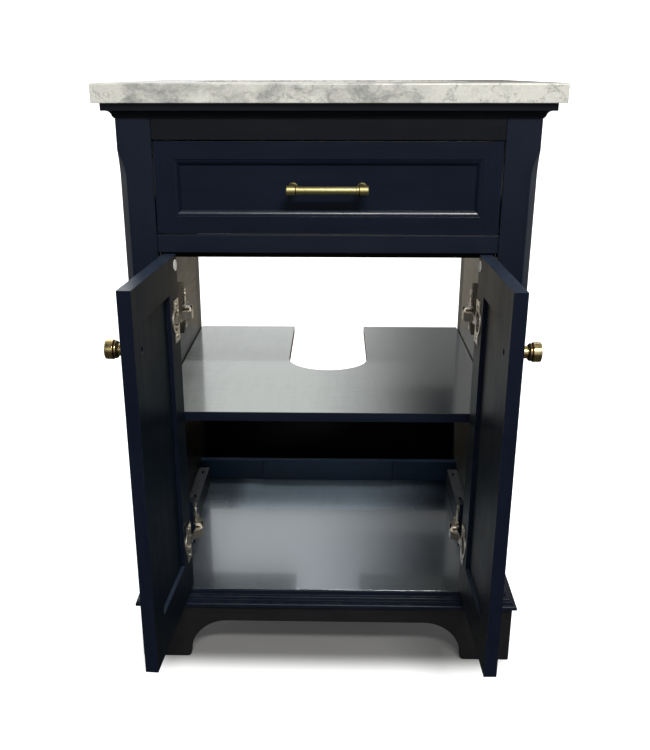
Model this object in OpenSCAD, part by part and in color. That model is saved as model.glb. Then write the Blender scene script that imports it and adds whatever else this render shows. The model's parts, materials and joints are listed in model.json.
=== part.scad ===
// A freestanding bathroom vanity: a painted cabinet with a stone top, a tilt-out front,
// two inset doors, a notched shelf and a bracket base.
// The origin is the middle of the line where the cabinet's back meets wall and floor.
// +X is the right-hand side seen from the front, the front faces -Y and +Z is up.

/* [Cabinet] */
// Width over the corner posts
cabinet_w = 578; // [500:1:900]
// Depth from the wall to the front of the posts
cabinet_d = 537; // [480:1:620]
// Height of the cabinet under the stone top
cabinet_h = 873; // [840:1:950]
// Width of a front post's face
post_w = 48; // [40:1:70]
// Depth of a post along the side of the cabinet
post_d = 45; // [30:1:70]
// Thickness of the front frame
frame_t = 20; // [18:0.5:26]
// Thickness of a side panel
side_panel_t = 18; // [12:0.5:20]
// How far a side panel lies back from the posts' outer face
side_recess = 7.5; // [4:0.5:12]
// Width of the chamfer on a front post
post_chamfer = 10.5; // [6:0.5:14]
// Radius of the scoop that ends the chamfer
chamfer_scoop_r = 110; // [60:1:160]
// Height of the chamfer's lower tip
chamfer_low = 165; // [140:1:300]
// Distance from the chamfer's upper tip to the top of the post
chamfer_top_drop = 61; // [50:1:120]

/* [Rails] */
// Height of the front top rail
top_rail_h = 48; // [40:1:80]
// Height of the rail between the tilt-out front and the doors
middle_rail_h = 25.5; // [18:0.5:50]
// Height of the side frames' top rail
side_top_rail_h = 60; // [50:1:110]
// Height of the side frames' bottom rail above the base boards
side_bottom_rail_h = 55; // [40:1:100]
// Height of the rail across the back of the cabinet's top
back_rail_h = 100; // [60:1:140]
// Thickness of the rail across the back of the cabinet's top
back_rail_t = 18; // [12:1:22]
// Height of the batten that stops the doors
door_stop_h = 36; // [30:1:40]
// How far the door stop hangs below the middle rail
door_stop_drop = 10; // [5:1:16]
// Thickness of the door stop
door_stop_t = 18; // [12:1:20]

/* [Stone top] */
// Width of the stone top
top_w = 630; // [560:1:960]
// Depth of the stone top
top_d = 560; // [500:1:640]
// Thickness of the stone top
top_t = 25; // [18:1:40]
// Small bevel on the top's upper edges
top_arris = 1.5; // [0.5:0.5:3]
// Distance from the wall to the tap holes
tap_setback = 92; // [70:1:105]
// Distance between two neighbouring tap holes
tap_pitch = 101.6; // [50:0.1:110]
// Radius of a tap hole
tap_hole_r = 17.5; // [12:0.5:19]

/* [Basin] */
// Width of the basin's opening
basin_w = 410; // [300:1:430]
// Depth of the basin's opening from front to back
basin_d = 290; // [240:1:300]
// Depth of the bowl below the stone
basin_deep = 135; // [100:1:150]
// Distance from the wall to the middle of the basin
basin_y = 320; // [300:1:330]
// Thickness of the basin's wall
basin_wall = 9; // [6:1:12]
// Width of the basin's rim under the stone
basin_rim = 18; // [14:1:20]
// Thickness of the basin's rim
basin_rim_t = 12; // [8:1:16]
// Radius of the bowl's corners
basin_corner_r = 55; // [30:1:80]
// Radius of the waste hole
waste_r = 22.5; // [18:0.5:26]

/* [Crown moulding] */
// Height of the crown moulding
crown_h = 20; // [16:1:30]
// How far the crown stands out from the posts
crown_out = 15.5; // [13:0.5:20]
// Height of the crown's flat band
crown_band_h = 10; // [8:0.5:11]

/* [Floor and shelf] */
// Height of the floor panel's upper face
floor_z = 122; // [116:1:160]
// Thickness of the floor panel
floor_t = 15; // [12:1:20]
// Height of the shelf's upper face
shelf_z = 421.5; // [300:0.5:480]
// Thickness of the shelf
shelf_t = 15; // [12:1:22]
// Gap between the shelf and each side
shelf_gap = 1.5; // [0.5:0.5:3]
// Distance from the front of the cabinet to the shelf
shelf_setback = 23.5; // [22:0.5:60]
// Width of the notch for the pipes
notch_w = 142; // [80:1:240]
// Depth of the notch from the shelf's back edge
notch_d = 296; // [150:1:340]
// Radius of a shelf pin
pin_r = 2.5; // [2:0.25:4]
// Length of a shelf pin inside the side panel, and again under the shelf
pin_l = 10; // [6:1:12]

/* [Low back] */
// Distance from the end of a drawer runner to the low back rail
low_rail_gap = 29; // [10:1:60]
// Height of the low back rail
low_rail_h = 42; // [30:1:70]
// Thickness of the low back rail
low_rail_t = 15; // [12:1:20]
// Width of the stop plate on the low back rail
stop_plate_w = 266; // [120:1:400]
// Height of the stop plate
stop_plate_h = 44; // [30:1:60]
// Thickness of the stop plate
stop_plate_t = 6; // [4:1:10]
// Height of the gap under the stop plate
stop_plate_lift = 2; // [0:0.5:6]
// Distance from the back of the cabinet to the lower back panel
back_panel_inset = 6; // [1:1:20]
// Height of the lower back panel
back_panel_h = 115; // [80:1:200]
// Thickness of the lower back panel
back_panel_t = 6; // [3:1:12]

/* [Bracket base] */
// Height of the base boards
base_h = 99; // [90:1:100]
// Thickness of the base boards, which stand out from the posts by as much
base_t = 14.5; // [12:0.5:20]
// Height of the flat top of the arches
arch_z = 69.5; // [50:0.5:75]
// Width of a foot seen from the front
foot_w = 80.5; // [60:0.5:110]
// Radius of the sweep from a foot to the arch
arch_r = 62; // [30:1:62]
// Radius of a foot's rounded inner corner
foot_corner_r = 7; // [3:1:10]
// How far the base moulding stands out from the base boards
base_moulding_out = 6; // [3:0.5:9]
// Height of the base moulding
base_moulding_h = 22; // [18:0.5:23]

/* [Framed fronts] */
// Thickness of a framed front
front_t = 18; // [16:0.5:19]
// Depth of the panel below a front's face
panel_recess = 7; // [5:0.5:8]
// Thickness of a front's panel
panel_t = 5; // [4:0.5:6]
// Depth of the groove that holds the panel
groove_d = 6; // [4:0.5:9]
// Play of the panel in its groove
groove_play = 0.1; // [0.05:0.05:0.2]
// Width of the moulded edge around the panel
stick_w = 9.5; // [6:0.5:12]

/* [Tilt-out front] */
// Height of the tilt-out front's opening
drawer_opening_h = 128; // [110:1:150]
// Gap around the tilt-out front
drawer_gap = 1.8; // [1.8:0.1:3]
// Width of the tilt-out front's stiles
drawer_stile_w = 25; // [20:1:50]
// Height of the tilt-out front's rails
drawer_rail_h = 22.5; // [16:0.5:30]
// Width of the tray
tray_w = 280; // [200:1:360]
// Depth of the tray from front to back
tray_d = 38; // [25:1:39]
// Height of the tray
tray_h = 70; // [50:1:90]
// Thickness of the tray's walls
tray_wall = 2; // [1.5:0.5:4]

/* [Doors] */
// Gap between a door and its post
door_side_gap = 1.5; // [1.2:0.1:3]
// Gap between the two doors
door_mid_gap = 3; // [2:0.5:5]
// Gap over the doors
door_top_gap = 2; // [1.5:0.5:4]
// Gap between the floor panel and the doors
door_floor_gap = 7; // [3:0.5:10]
// Width of the door stiles
door_stile_w = 50; // [44:1:70]
// Height of the doors' top rail
door_top_rail_h = 49; // [40:1:80]
// Height of the doors' bottom rail
door_bottom_rail_h = 62; // [45:1:90]
// Opening angle of the left door as it stands
left_open = 93.6; // [75:0.1:104]
// Opening angle of the right door as it stands
right_open = 91.3; // [75:0.1:104]
// Distance of the door's turning axis from the door's edge
pivot_in = 3.7; // [3:0.1:5]
// Distance of the door's turning axis in front of the door's face
pivot_out = 1.8; // [1.5:0.1:2.5]

/* [Door hinges] */
// Distance from a door's top to its upper hinge
hinge_top_drop = 92; // [70:1:130]
// Distance from a door's bottom to its lower hinge
hinge_bottom_rise = 88; // [70:1:130]
// Radius of a hinge cup
cup_r = 17.5; // [13:0.5:17.5]
// Depth of a hinge cup in the door
cup_deep = 11.5; // [10:0.5:12]
// Distance from the door's edge to the middle of the cup
cup_inset = 22.5; // [21:0.5:24]
// Height of the cup's flange
flange_h = 62; // [58:1:66]
// Width of the cup's flange
flange_w = 24; // [20:1:24]
// Thickness of the cup's flange
flange_t = 1.5; // [1:0.1:1.6]
// Height of the hinge's link
link_h = 12; // [8:0.5:13]
// How far the link reaches past the door's edge
link_reach = 23.5; // [22:0.25:23.5]
// Thickness of the hinge arm's sheet
arm_t = 2; // [1.2:0.1:2.2]
// Distance from the back of the front frame to the mouth of the hinge arm
arm_mouth = 18; // [17:0.5:22]
// Depth of the hinge arm's mouth over its plate
arm_deep = 13; // [12:0.5:14]
// Depth of the hinge arm behind its crank
arm_low = 3; // [2.5:0.5:6]
// Height of the hinge plate over its wings
plate_h = 60; // [54:1:70]
// Width of the hinge plate's wings
plate_w = 13; // [10:1:16]
// Thickness of the hinge plate
plate_t = 2.5; // [1.5:0.5:3]
// Height of a hinge block
block_h = 76; // [74:1:90]
// Depth of a hinge block from front to back
block_d = 18; // [18:1:60]
// Thickness of a hinge block out of the side panel
block_t = 46; // [44:0.5:46.5]
// Distance from the back of the front frame to a hinge block
block_setback = 28; // [26:1:30]

/* [Small brass] */
// Distance between the pull's posts
pull_pitch = 96; // [64:1:160]
// Length of the pull's bar
pull_l = 112.5; // [84:0.5:190]
// Radius of the pull's bar
pull_r = 4.75; // [4:0.25:6]
// Radius of the bar's end caps
pull_cap_r = 6; // [5:0.5:8]
// Length of the bar's end caps
pull_cap_l = 14.5; // [8:0.5:18]
// Distance of the bar's middle from the panel
pull_out = 32; // [26:1:40]
// Radius of the pull's posts
pull_post_r = 5; // [4:0.25:6]
// Radius of a knob's head
knob_r = 12.3; // [10:0.1:16]
// Length of a knob over its stem and head
knob_l = 29; // [24:1:36]
// Radius of a knob's stem
knob_stem_r = 7.1; // [5:0.1:8]
// Distance from a door's free edge to its knob
knob_inset = 32; // [24:1:36]
// Distance from a door's top to its knob
knob_drop = 82; // [60:1:120]

/* [Runners] */
// Length of a drawer runner
runner_l = 380; // [300:1:390]
// Height of a runner's upper face
runner_z = 160; // [150:1:170]
// Width of a runner's upper face
runner_w = 19; // [16:1:22]
// Distance from the side panel to the runner's inner edge
runner_in = 22; // [21.5:0.5:30]
// Thickness of the runner's sheet
runner_t = 1.5; // [1.2:0.1:2]

/* [Hidden] */
$fn = 48;
fine = 96;

navy = "#1c2436";
navy_inside = "#2a3140";
wood = "#b99a6b";
stone = "#dcdedb";
white_ware = "#f2f1ec";
brass = "#b08d4c";
steel = "#a9adb0";
felt = "#e8e4d6";
black_board = "#15171c";
plastic = "#e6e6e2";

cut_over = 1;
half_w = cabinet_w / 2;
front_y = -cabinet_d;
frame_back_y = front_y + frame_t;
opening_x = half_w - post_w;
inner_x = half_w - side_panel_t - side_recess;
panel_out_x = inner_x + side_panel_t;
opening_top = cabinet_h - top_rail_h;
middle_top = opening_top - drawer_opening_h;
middle_bottom = middle_top - middle_rail_h;
clear = 0.3;

// Draws the box between two opposite corners.
module block(low, high) {
    translate(low) cube(high - low);
}

// Draws the shape and its mirror image across the cabinet's middle.
module both_sides() {
    children();
    mirror([1, 0, 0]) children();
}

// Lays a plan or profile polygon along X, with its first coordinate on Y and its second on Z.
module along_x(length) {
    rotate([90, 0, 90]) linear_extrude(length, center = true) children();
}

// Rounded rectangle made of whole circles and squares.
module rounded_rect(w, d, r) {
    square([w - 2 * r, d], center = true);
    square([w, d - 2 * r], center = true);
    for (sx = [-1, 1], sy = [-1, 1])
        translate([sx * (w / 2 - r), sy * (d / 2 - r)]) circle(r, $fn = fine);
}

// Profile points are [distance out from the posts, height].
// A moulding across the front with 45 degree mitres at both corners.
module front_moulding(profile, reach, z_low, z_high) {
    intersection() {
        along_x(2 * (half_w + reach)) polygon([for (p = profile) [front_y - p[0], p[1]]]);
        translate([0, 0, z_low]) linear_extrude(z_high - z_low)
            polygon([[-half_w, front_y], [half_w, front_y],
                     [half_w + reach, front_y - reach], [-half_w - reach, front_y - reach]]);
    }
}

// The same moulding along the right side, from the mitre to the wall.
module side_moulding(profile, reach, z_low, z_high) {
    intersection() {
        rotate([90, 0, 0]) linear_extrude(cabinet_d + reach)
            polygon([for (p = profile) [half_w + p[0], p[1]]]);
        translate([0, 0, z_low]) linear_extrude(z_high - z_low)
            polygon([[half_w, 0], [half_w + reach, 0],
                     [half_w + reach, front_y - reach], [half_w, front_y]]);
    }
}

// Stone top, with the basin's opening and three tap holes.
module marble_top() {
    z_low = cabinet_h;
    z_high = cabinet_h + top_t;
    color(stone) difference() {
        intersection() {
            along_x(top_w) polygon([
                [-top_d, z_low], [0, z_low], [0, z_high],
                [top_arris - top_d, z_high], [-top_d, z_high - top_arris]]);
            rotate([90, 0, 0]) linear_extrude(top_d) polygon([
                [-top_w / 2, z_low], [top_w / 2, z_low],
                [top_w / 2, z_high - top_arris], [top_w / 2 - top_arris, z_high],
                [top_arris - top_w / 2, z_high], [-top_w / 2, z_high - top_arris]]);
        }
        translate([0, -basin_y, z_low - cut_over]) linear_extrude(top_t + 2 * cut_over)
            rounded_rect(basin_w, basin_d, basin_corner_r);
        for (k = [-1, 0, 1])
            translate([k * tap_pitch, -tap_setback, z_low - cut_over])
                cylinder(r = tap_hole_r, h = top_t + 2 * cut_over, $fn = fine);
    }
}

// Vitreous basin under the stone. Its bowl steps in twice towards the waste hole.
basin_step = [18, 26];
basin_step_z = [34, 14];
module bowl_inside(grow) {
    z_bottom = cabinet_h - basin_deep;
    translate([0, -basin_y, 0]) {
        translate([0, 0, z_bottom + basin_step_z[0] - grow])
            linear_extrude(basin_deep - basin_step_z[0] + grow + (grow == 0 ? cut_over : 0))
                rounded_rect(basin_w + 2 * grow, basin_d + 2 * grow, basin_corner_r + grow);
        translate([0, 0, z_bottom + basin_step_z[1] - grow])
            linear_extrude(basin_step_z[0])
                rounded_rect(basin_w - 2 * basin_step[0] + 2 * grow,
                             basin_d - 2 * basin_step[0] + 2 * grow, basin_corner_r + grow);
        translate([0, 0, z_bottom - grow]) linear_extrude(basin_step_z[0])
            rounded_rect(basin_w - 2 * (basin_step[0] + basin_step[1]) + 2 * grow,
                         basin_d - 2 * (basin_step[0] + basin_step[1]) + 2 * grow,
                         basin_corner_r - basin_step[0] + grow);
    }
}
module basin() {
    color(white_ware) difference() {
        union() {
            translate([0, -basin_y, cabinet_h - basin_rim_t]) linear_extrude(basin_rim_t)
                rounded_rect(basin_w + 2 * basin_rim, basin_d + 2 * basin_rim,
                             basin_corner_r + basin_rim);
            bowl_inside(basin_wall);
        }
        bowl_inside(0);
        translate([0, -basin_y, cabinet_h - basin_deep - basin_wall - cut_over])
            cylinder(r = waste_r, h = basin_wall + 2 * cut_over, $fn = fine);
    }
}

// Four clips that press the basin's rim against the stone.
clip_w = 24;
clip_l = 30;
clip_t = 3;
module basin_clips() {
    rim_x = basin_w / 2 + basin_rim;
    rim_z = cabinet_h - basin_rim_t;
    color(steel) both_sides() for (sy = [-1, 1])
        translate([0, -basin_y + sy * basin_d / 5, 0]) {
            block([rim_x - basin_wall, -clip_w / 2, rim_z - clip_t],
                  [rim_x - basin_wall + clip_l, clip_w / 2, rim_z]);
            block([rim_x + clip_t, -clip_w / 2, rim_z - clip_t],
                  [rim_x + 2 * clip_t, clip_w / 2, cabinet_h]);
        }
}

// Crown moulding under the stone: flat band, cove and bead.
crown_step = 4.5;
crown_bead = 1.5;
crown_bead_h = 2;
cove_r = crown_h - crown_band_h - crown_bead_h;
crown_profile = concat(
    [[0, cabinet_h], [crown_out, cabinet_h], [crown_out, cabinet_h - crown_band_h]],
    [for (a = [90 : 10 : 180])
        [crown_out - crown_step + cove_r * cos(a), cabinet_h - crown_band_h - cove_r + cove_r * sin(a)]],
    [[crown_bead, cabinet_h - crown_band_h - cove_r], [crown_bead, cabinet_h - crown_h],
     [0, cabinet_h - crown_h]]);
module crown_front() {
    color(navy) front_moulding(crown_profile, crown_out, cabinet_h - crown_h - cut_over,
                               cabinet_h + cut_over);
}
module crown_sides() {
    color(navy) both_sides()
        side_moulding(crown_profile, crown_out, cabinet_h - crown_h - cut_over,
                      cabinet_h + cut_over);
}

// Front corner post with a scooped chamfer on its outer corner.
module front_post() {
    tip_run = sqrt(pow(chamfer_scoop_r, 2) - pow(chamfer_scoop_r - post_chamfer / sqrt(2), 2));
    z_low = chamfer_low + tip_run;
    z_high = cabinet_h - chamfer_top_drop - tip_run;
    cut_w = 3 * post_chamfer;
    color(navy) difference() {
        linear_extrude(cabinet_h) polygon([
            [half_w, front_y], [half_w, front_y + post_d], [inner_x, front_y + post_d],
            [inner_x, frame_back_y], [opening_x, frame_back_y], [opening_x, front_y]]);
        translate([half_w, front_y, 0]) rotate([0, 0, -45])
            translate([-post_chamfer / sqrt(2), 0, 0]) {
                block([0, -cut_w, z_low], [cut_w, cut_w, z_high]);
                for (z = [z_low, z_high])
                    translate([chamfer_scoop_r, 0, z]) rotate([90, 0, 0])
                        cylinder(r = chamfer_scoop_r, h = 2 * cut_w, center = true, $fn = 360);
            }
    }
}
module front_post_right() { front_post(); }
module front_post_left() { mirror([1, 0, 0]) front_post(); }

// Rear corner post, flush with the side panel inside.
module rear_post() {
    color(navy) block([inner_x, -post_d, 0], [half_w, 0, cabinet_h]);
}
module rear_post_right() { rear_post(); }
module rear_post_left() { mirror([1, 0, 0]) rear_post(); }

// Side panel between the posts, with blind holes for the shelf pins.
side_tuck = 14;
side_low = base_h - side_tuck;
pin_setback = 60;
pin_y = [frame_back_y + pin_setback, -pin_setback];
module pin_holes() {
    for (y = pin_y) translate([inner_x - cut_over, y, shelf_z - shelf_t - pin_r]) rotate([0, 90, 0])
        cylinder(r = pin_r, h = pin_l + cut_over, $fn = 24);
}
module side_panel() {
    color(navy_inside) difference() {
        block([inner_x, front_y + post_d, side_low], [panel_out_x, -post_d, cabinet_h]);
        pin_holes();
    }
}
module side_panel_right() { side_panel(); }
module side_panel_left() { mirror([1, 0, 0]) side_panel(); }

// Two rails on the outside of a side panel, flush with the posts.
module side_rails() {
    color(navy) for (z = [[side_low, base_h + side_bottom_rail_h],
                          [cabinet_h - side_top_rail_h, cabinet_h]])
        block([panel_out_x, front_y + post_d, z[0]], [half_w, -post_d, z[1]]);
}
module side_rails_right() { side_rails(); }
module side_rails_left() { mirror([1, 0, 0]) side_rails(); }

// Rails of the front frame.
module frame_rail(z_low, z_high) {
    color(navy) block([-opening_x, front_y, z_low], [opening_x, frame_back_y, z_high]);
}
module top_rail() { frame_rail(opening_top, cabinet_h); }
module middle_rail() { frame_rail(middle_bottom, middle_top); }
module bottom_rail() { frame_rail(arch_z, floor_z - floor_t); }

// Batten behind the middle rail that the doors close against.
module door_stop() {
    color(black_board) block(
        [-opening_x, frame_back_y, middle_bottom - door_stop_drop],
        [opening_x, frame_back_y + door_stop_t, middle_bottom - door_stop_drop + door_stop_h]);
}

// Rail across the back under the stone, which is screwed to the wall.
module back_top_rail() {
    color(navy_inside) block([-inner_x, -back_rail_t, cabinet_h - back_rail_h],
                             [inner_x, 0, cabinet_h]);
}

// Low rail across the floor panel, and the plate on it that stops an inner drawer.
runner_setback = 4;
runner_y = frame_back_y + runner_setback;
low_rail_y = runner_y + runner_l + low_rail_gap;
module low_back_rail() {
    color(navy) block([-inner_x, low_rail_y, floor_z],
                      [inner_x, low_rail_y + low_rail_t, floor_z + low_rail_h]);
}
module stop_plate() {
    color(navy) block(
        [-stop_plate_w / 2, low_rail_y - stop_plate_t, floor_z + stop_plate_lift],
        [stop_plate_w / 2, low_rail_y, floor_z + stop_plate_lift + stop_plate_h]);
}

// Low thin board between the rear posts, which leaves the back open above it.
module lower_back_panel() {
    y = -back_panel_inset - back_panel_t;
    color(black_board) block([-inner_x, y, floor_z], [inner_x, y + back_panel_t, floor_z + back_panel_h]);
}

// Floor panel, notched around the front posts.
module floor_panel() {
    color(navy_inside) translate([0, 0, floor_z - floor_t]) linear_extrude(floor_t) polygon([
        [-opening_x, front_y], [opening_x, front_y], [opening_x, frame_back_y],
        [inner_x, frame_back_y], [inner_x, 0], [-inner_x, 0],
        [-inner_x, frame_back_y], [-opening_x, frame_back_y]]);
}

// Shelf with a round-ended notch for the pipes.
module shelf() {
    half_shelf = inner_x - shelf_gap;
    notch_r = notch_w / 2;
    color(navy_inside) translate([0, 0, shelf_z - shelf_t]) difference() {
        block([-half_shelf, front_y + shelf_setback, 0], [half_shelf, 0, shelf_t]);
        translate([0, 0, -cut_over]) linear_extrude(shelf_t + 2 * cut_over) {
            translate([-notch_r, notch_r - notch_d]) square([notch_w, notch_d]);
            translate([0, notch_r - notch_d]) circle(notch_r, $fn = fine);
        }
    }
}

// Four steel pins in the side panels that carry the shelf.
module shelf_pins() {
    color(steel) both_sides() for (y = pin_y)
        translate([inner_x - pin_l, y, shelf_z - shelf_t - pin_r]) rotate([0, 90, 0])
            cylinder(r = pin_r, h = 2 * pin_l, $fn = 24);
}

// Outline cut from a base board: a flat arch with swept ends, and rounded feet beside it.
// It lies between x_low and x_high, with the floor at zero.
module arch_cut(x_low, x_high) {
    sweep_z = arch_z - arch_r;
    translate([x_low, -cut_over]) square([x_high - x_low, sweep_z + cut_over]);
    translate([x_low + arch_r, 0]) square([x_high - x_low - 2 * arch_r, arch_z]);
    for (x = [x_low + arch_r, x_high - arch_r])
        translate([x, sweep_z]) circle(arch_r, $fn = fine);
    for (end = [[x_low, -1], [x_high, 1]]) difference() {
        translate([end[0] + (end[1] > 0 ? -cut_over : -foot_corner_r), -cut_over])
            square([foot_corner_r + cut_over, foot_corner_r + cut_over]);
        translate([end[0] + end[1] * foot_corner_r, foot_corner_r])
            circle(foot_corner_r, $fn = fine);
    }
}

// Front base board with mitred corners.
module base_front() {
    arch_x = half_w + base_t - foot_w;
    color(navy) difference() {
        linear_extrude(base_h) polygon([
            [-half_w, front_y], [half_w, front_y],
            [half_w + base_t, front_y - base_t], [-half_w - base_t, front_y - base_t]]);
        translate([0, front_y + cut_over, 0]) rotate([90, 0, 0])
            linear_extrude(base_t + 2 * cut_over)
                arch_cut(-arch_x, arch_x);
    }
}

// Side base board, from the front mitre to the wall.
module base_side() {
    color(navy) difference() {
        linear_extrude(base_h) polygon([
            [half_w, 0], [half_w + base_t, 0],
            [half_w + base_t, front_y - base_t], [half_w, front_y]]);
        translate([half_w - cut_over, 0, 0]) rotate([90, 0, 90])
            linear_extrude(base_t + 2 * cut_over)
                arch_cut(front_y - base_t + foot_w, -foot_w);
    }
}
module base_right() { base_side(); }
module base_left() { mirror([1, 0, 0]) base_side(); }

// Stepped moulding that caps the base boards.
base_top = base_h + base_moulding_h;
base_reach = base_t + base_moulding_out;
base_profile = [
    [0, base_h], [base_reach, base_h], [base_reach, base_h + 4.2], [base_reach - 0.6, base_h + 5.8],
    [base_reach - 2.4, base_h + 7.2], [base_t - 1, base_h + 7.8], [base_t - 1, base_h + 10],
    [base_t - 1.5, base_h + 10.8], [base_t - 5.4, base_h + 11.2], [base_t - 5.4, base_h + 13],
    [base_t - 6.2, base_h + 14], [base_t - 10.6, base_h + 14.6], [base_t - 11, base_h + 15.4],
    [base_t - 11, base_top - 0.6], [base_t - 11.6, base_top], [0, base_top]];
module base_moulding_front() {
    color(navy) front_moulding(base_profile, base_reach, base_h - cut_over, base_top + cut_over);
}
module base_moulding_right() {
    color(navy) side_moulding(base_profile, base_reach, base_h - cut_over, base_top + cut_over);
}
module base_moulding_left() { mirror([1, 0, 0]) base_moulding_right(); }

// Four triangular blocks in the top corners, which carry the stone.
corner_leg = 50;
corner_t = 20;
module corner_blocks() {
    color(wood) both_sides() translate([0, 0, cabinet_h - corner_t]) linear_extrude(corner_t) {
        polygon([[inner_x, frame_back_y], [inner_x, frame_back_y + corner_leg],
                 [inner_x - corner_leg, frame_back_y]]);
        polygon([[inner_x, -back_rail_t], [inner_x - corner_leg, -back_rail_t],
                 [inner_x, -back_rail_t - corner_leg]]);
    }
}

// Runner brackets on the side panels: an upright leaf with a foot on the floor panel.
runner_screw_r = 2.5;
runner_screw_end = 40;
runner_inner_x = inner_x - runner_in;
runner_back_x = runner_inner_x + runner_w;
module runner_brackets() {
    web_x = runner_back_x + runner_t;
    color(steel) both_sides() difference() {
        union() {
            block([inner_x - runner_t, runner_y, floor_z],
                  [inner_x, runner_y + runner_l, runner_z - 2 * runner_t]);
            block([runner_inner_x + runner_t + clear, runner_y, floor_z],
                  [inner_x, runner_y + runner_l, floor_z + runner_t]);
        }
        for (y = [runner_screw_end, runner_l / 2, runner_l - runner_screw_end])
            translate([web_x, runner_y + y, (floor_z + runner_z) / 2]) rotate([0, 90, 0])
                cylinder(r = runner_screw_r, h = runner_in, $fn = 24);
    }
}

// Sliding members: a channel over the bracket with slots along its upper face.
slot_l = 9;
slot_r = 2.2;
slot_end = 20;
slot_pitch = 112;
module runner_slides() {
    color(steel) both_sides() difference() {
        union() {
            block([runner_inner_x, runner_y, runner_z - runner_t],
                  [runner_back_x, runner_y + runner_l, runner_z]);
            block([runner_inner_x, runner_y, floor_z + runner_t + clear],
                  [runner_inner_x + runner_t, runner_y + runner_l, runner_z]);
            block([runner_back_x - runner_t, runner_y, floor_z + runner_t + clear],
                  [runner_back_x, runner_y + runner_l, runner_z]);
        }
        for (y = [slot_end : slot_pitch : runner_l - slot_end])
            translate([(runner_inner_x + runner_back_x) / 2, runner_y + y, runner_z - 2 * runner_t])
                linear_extrude(3 * runner_t) {
                    square([2 * slot_r, slot_l], center = true);
                    for (s = [-1, 1]) translate([0, s * slot_l / 2]) circle(slot_r, $fn = 24);
                }
    }
}

// The doors. A door is drawn shut on the left, turned open about its axis,
// and mirrored for the right-hand side.
door_w = opening_x - door_side_gap - door_mid_gap / 2;
door_low = floor_z + door_floor_gap;
door_h = middle_bottom - door_top_gap - door_low;
door_edge_x = -opening_x + door_side_gap;
axis_x = door_edge_x + pivot_in;
axis_y = front_y - pivot_out;
hinge_z = [door_low + hinge_bottom_rise, door_low + door_h - hinge_top_drop];
door_back_y = front_y + front_t;

module left_door_place() {
    translate([axis_x, axis_y, 0]) rotate([0, 0, -left_open]) translate([-axis_x, -axis_y, 0])
        children();
}
module right_door_place() {
    mirror([1, 0, 0]) translate([axis_x, axis_y, 0]) rotate([0, 0, -right_open])
        translate([-axis_x, -axis_y, 0]) children();
}

// Hinge blocks: they bring the hinge plates out from the side panels.
block_y = frame_back_y + block_setback;
plate_x = inner_x - block_t;
module hinge_blocks() {
    color(navy_inside) both_sides() for (z = hinge_z)
        block([plate_x, block_y, z - block_h / 2], [inner_x, block_y + block_d, z + block_h / 2]);
}

// Hinge arms: a winged plate on the block and a cranked channel with two forks
// that reach over and under the door's link.
arm_half = link_h / 2 + clear;
arm_x = plate_x - plate_t;
arm_y = frame_back_y + arm_mouth;
arm_flat = 4;
arm_crank = 14;
fork_w = 8;
fork_y = frame_back_y + 1;
plate_y = block_y + plate_w / 2 + 2;
screw_r = 2;
screw_head_r = 4;
screw_head_t = 1.6;
screw_edge = 8;
function arm_outline(inset) = [
    [arm_x + (inset > 0 ? cut_over : 0), arm_y - (inset > 0 ? cut_over : 0)],
    [arm_x - arm_deep + inset, arm_y - (inset > 0 ? cut_over : 0)],
    [arm_x - arm_deep + inset, arm_y + arm_flat],
    [arm_x - arm_low + inset, arm_y + arm_flat + arm_crank],
    [arm_x - arm_low + inset, block_y + block_d + (inset > 0 ? cut_over : 0)],
    [arm_x + (inset > 0 ? cut_over : 0), block_y + block_d + (inset > 0 ? cut_over : 0)]];
module hinge_arms() {
    color(steel) both_sides() for (z = hinge_z) translate([0, 0, z]) difference() {
        union() {
            block([arm_x, plate_y - plate_w / 2, -plate_h / 2],
                  [plate_x, plate_y + plate_w / 2, plate_h / 2]);
            difference() {
                translate([0, 0, -arm_half - arm_t])
                    linear_extrude(2 * (arm_half + arm_t)) polygon(arm_outline(0));
                translate([0, 0, -arm_half])
                    linear_extrude(2 * arm_half) polygon(arm_outline(arm_t));
            }
            for (low = [-arm_half - arm_t, arm_half])
                block([arm_x - arm_deep + arm_t, fork_y, low],
                      [arm_x - arm_deep + arm_t + fork_w, arm_y + cut_over, low + arm_t]);
        }
        for (s = [-1, 1])
            translate([arm_x - cut_over, plate_y, s * (plate_h / 2 - screw_edge)])
                rotate([0, 90, 0]) cylinder(r = screw_r, h = plate_t + 2 * cut_over, $fn = 24);
    }
}

// Screws that hold the hinge plates.
module hinge_arm_screws() {
    color(steel) both_sides() for (z = hinge_z, s = [-1, 1])
        translate([arm_x, plate_y, z + s * (plate_h / 2 - screw_edge)]) rotate([0, -90, 0]) {
            cylinder(r = screw_head_r, h = screw_head_t, $fn = 32);
            translate([0, 0, -plate_t]) cylinder(r = screw_r, h = plate_t + cut_over, $fn = 24);
        }
}

// A framed front of width w and height h. It stands on zero, its face is at y = 0
// and its back at y = front_t. rails holds the heights of the bottom and top rails.
stick_drop = 1.2;
stick_flat = 0.9;
function stick_profile() = concat(
    [[0, 0], [stick_flat, 0], [stick_flat, stick_drop]],
    [for (a = [0 : 15 : 90])
        [stick_flat + (stick_w - 2 * stick_flat) * sin(a),
         stick_drop + (panel_recess - 2 * stick_drop) * (1 - cos(a))]],
    [[stick_w, panel_recess - stick_drop], [stick_w, panel_recess], [0, panel_recess]]);

// Moulded edge along a stile that stands at x, turned towards dir.
module stile_edge(x, dir, z_low, z_high) {
    intersection() {
        linear_extrude(z_high) polygon([for (p = stick_profile()) [x + dir * p[0], p[1]]]);
        rotate([90, 0, 0]) translate([0, 0, -panel_recess]) linear_extrude(panel_recess)
            polygon([[x, z_low], [x, z_high],
                     [x + dir * stick_w, z_high - stick_w], [x + dir * stick_w, z_low + stick_w]]);
    }
}

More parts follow.
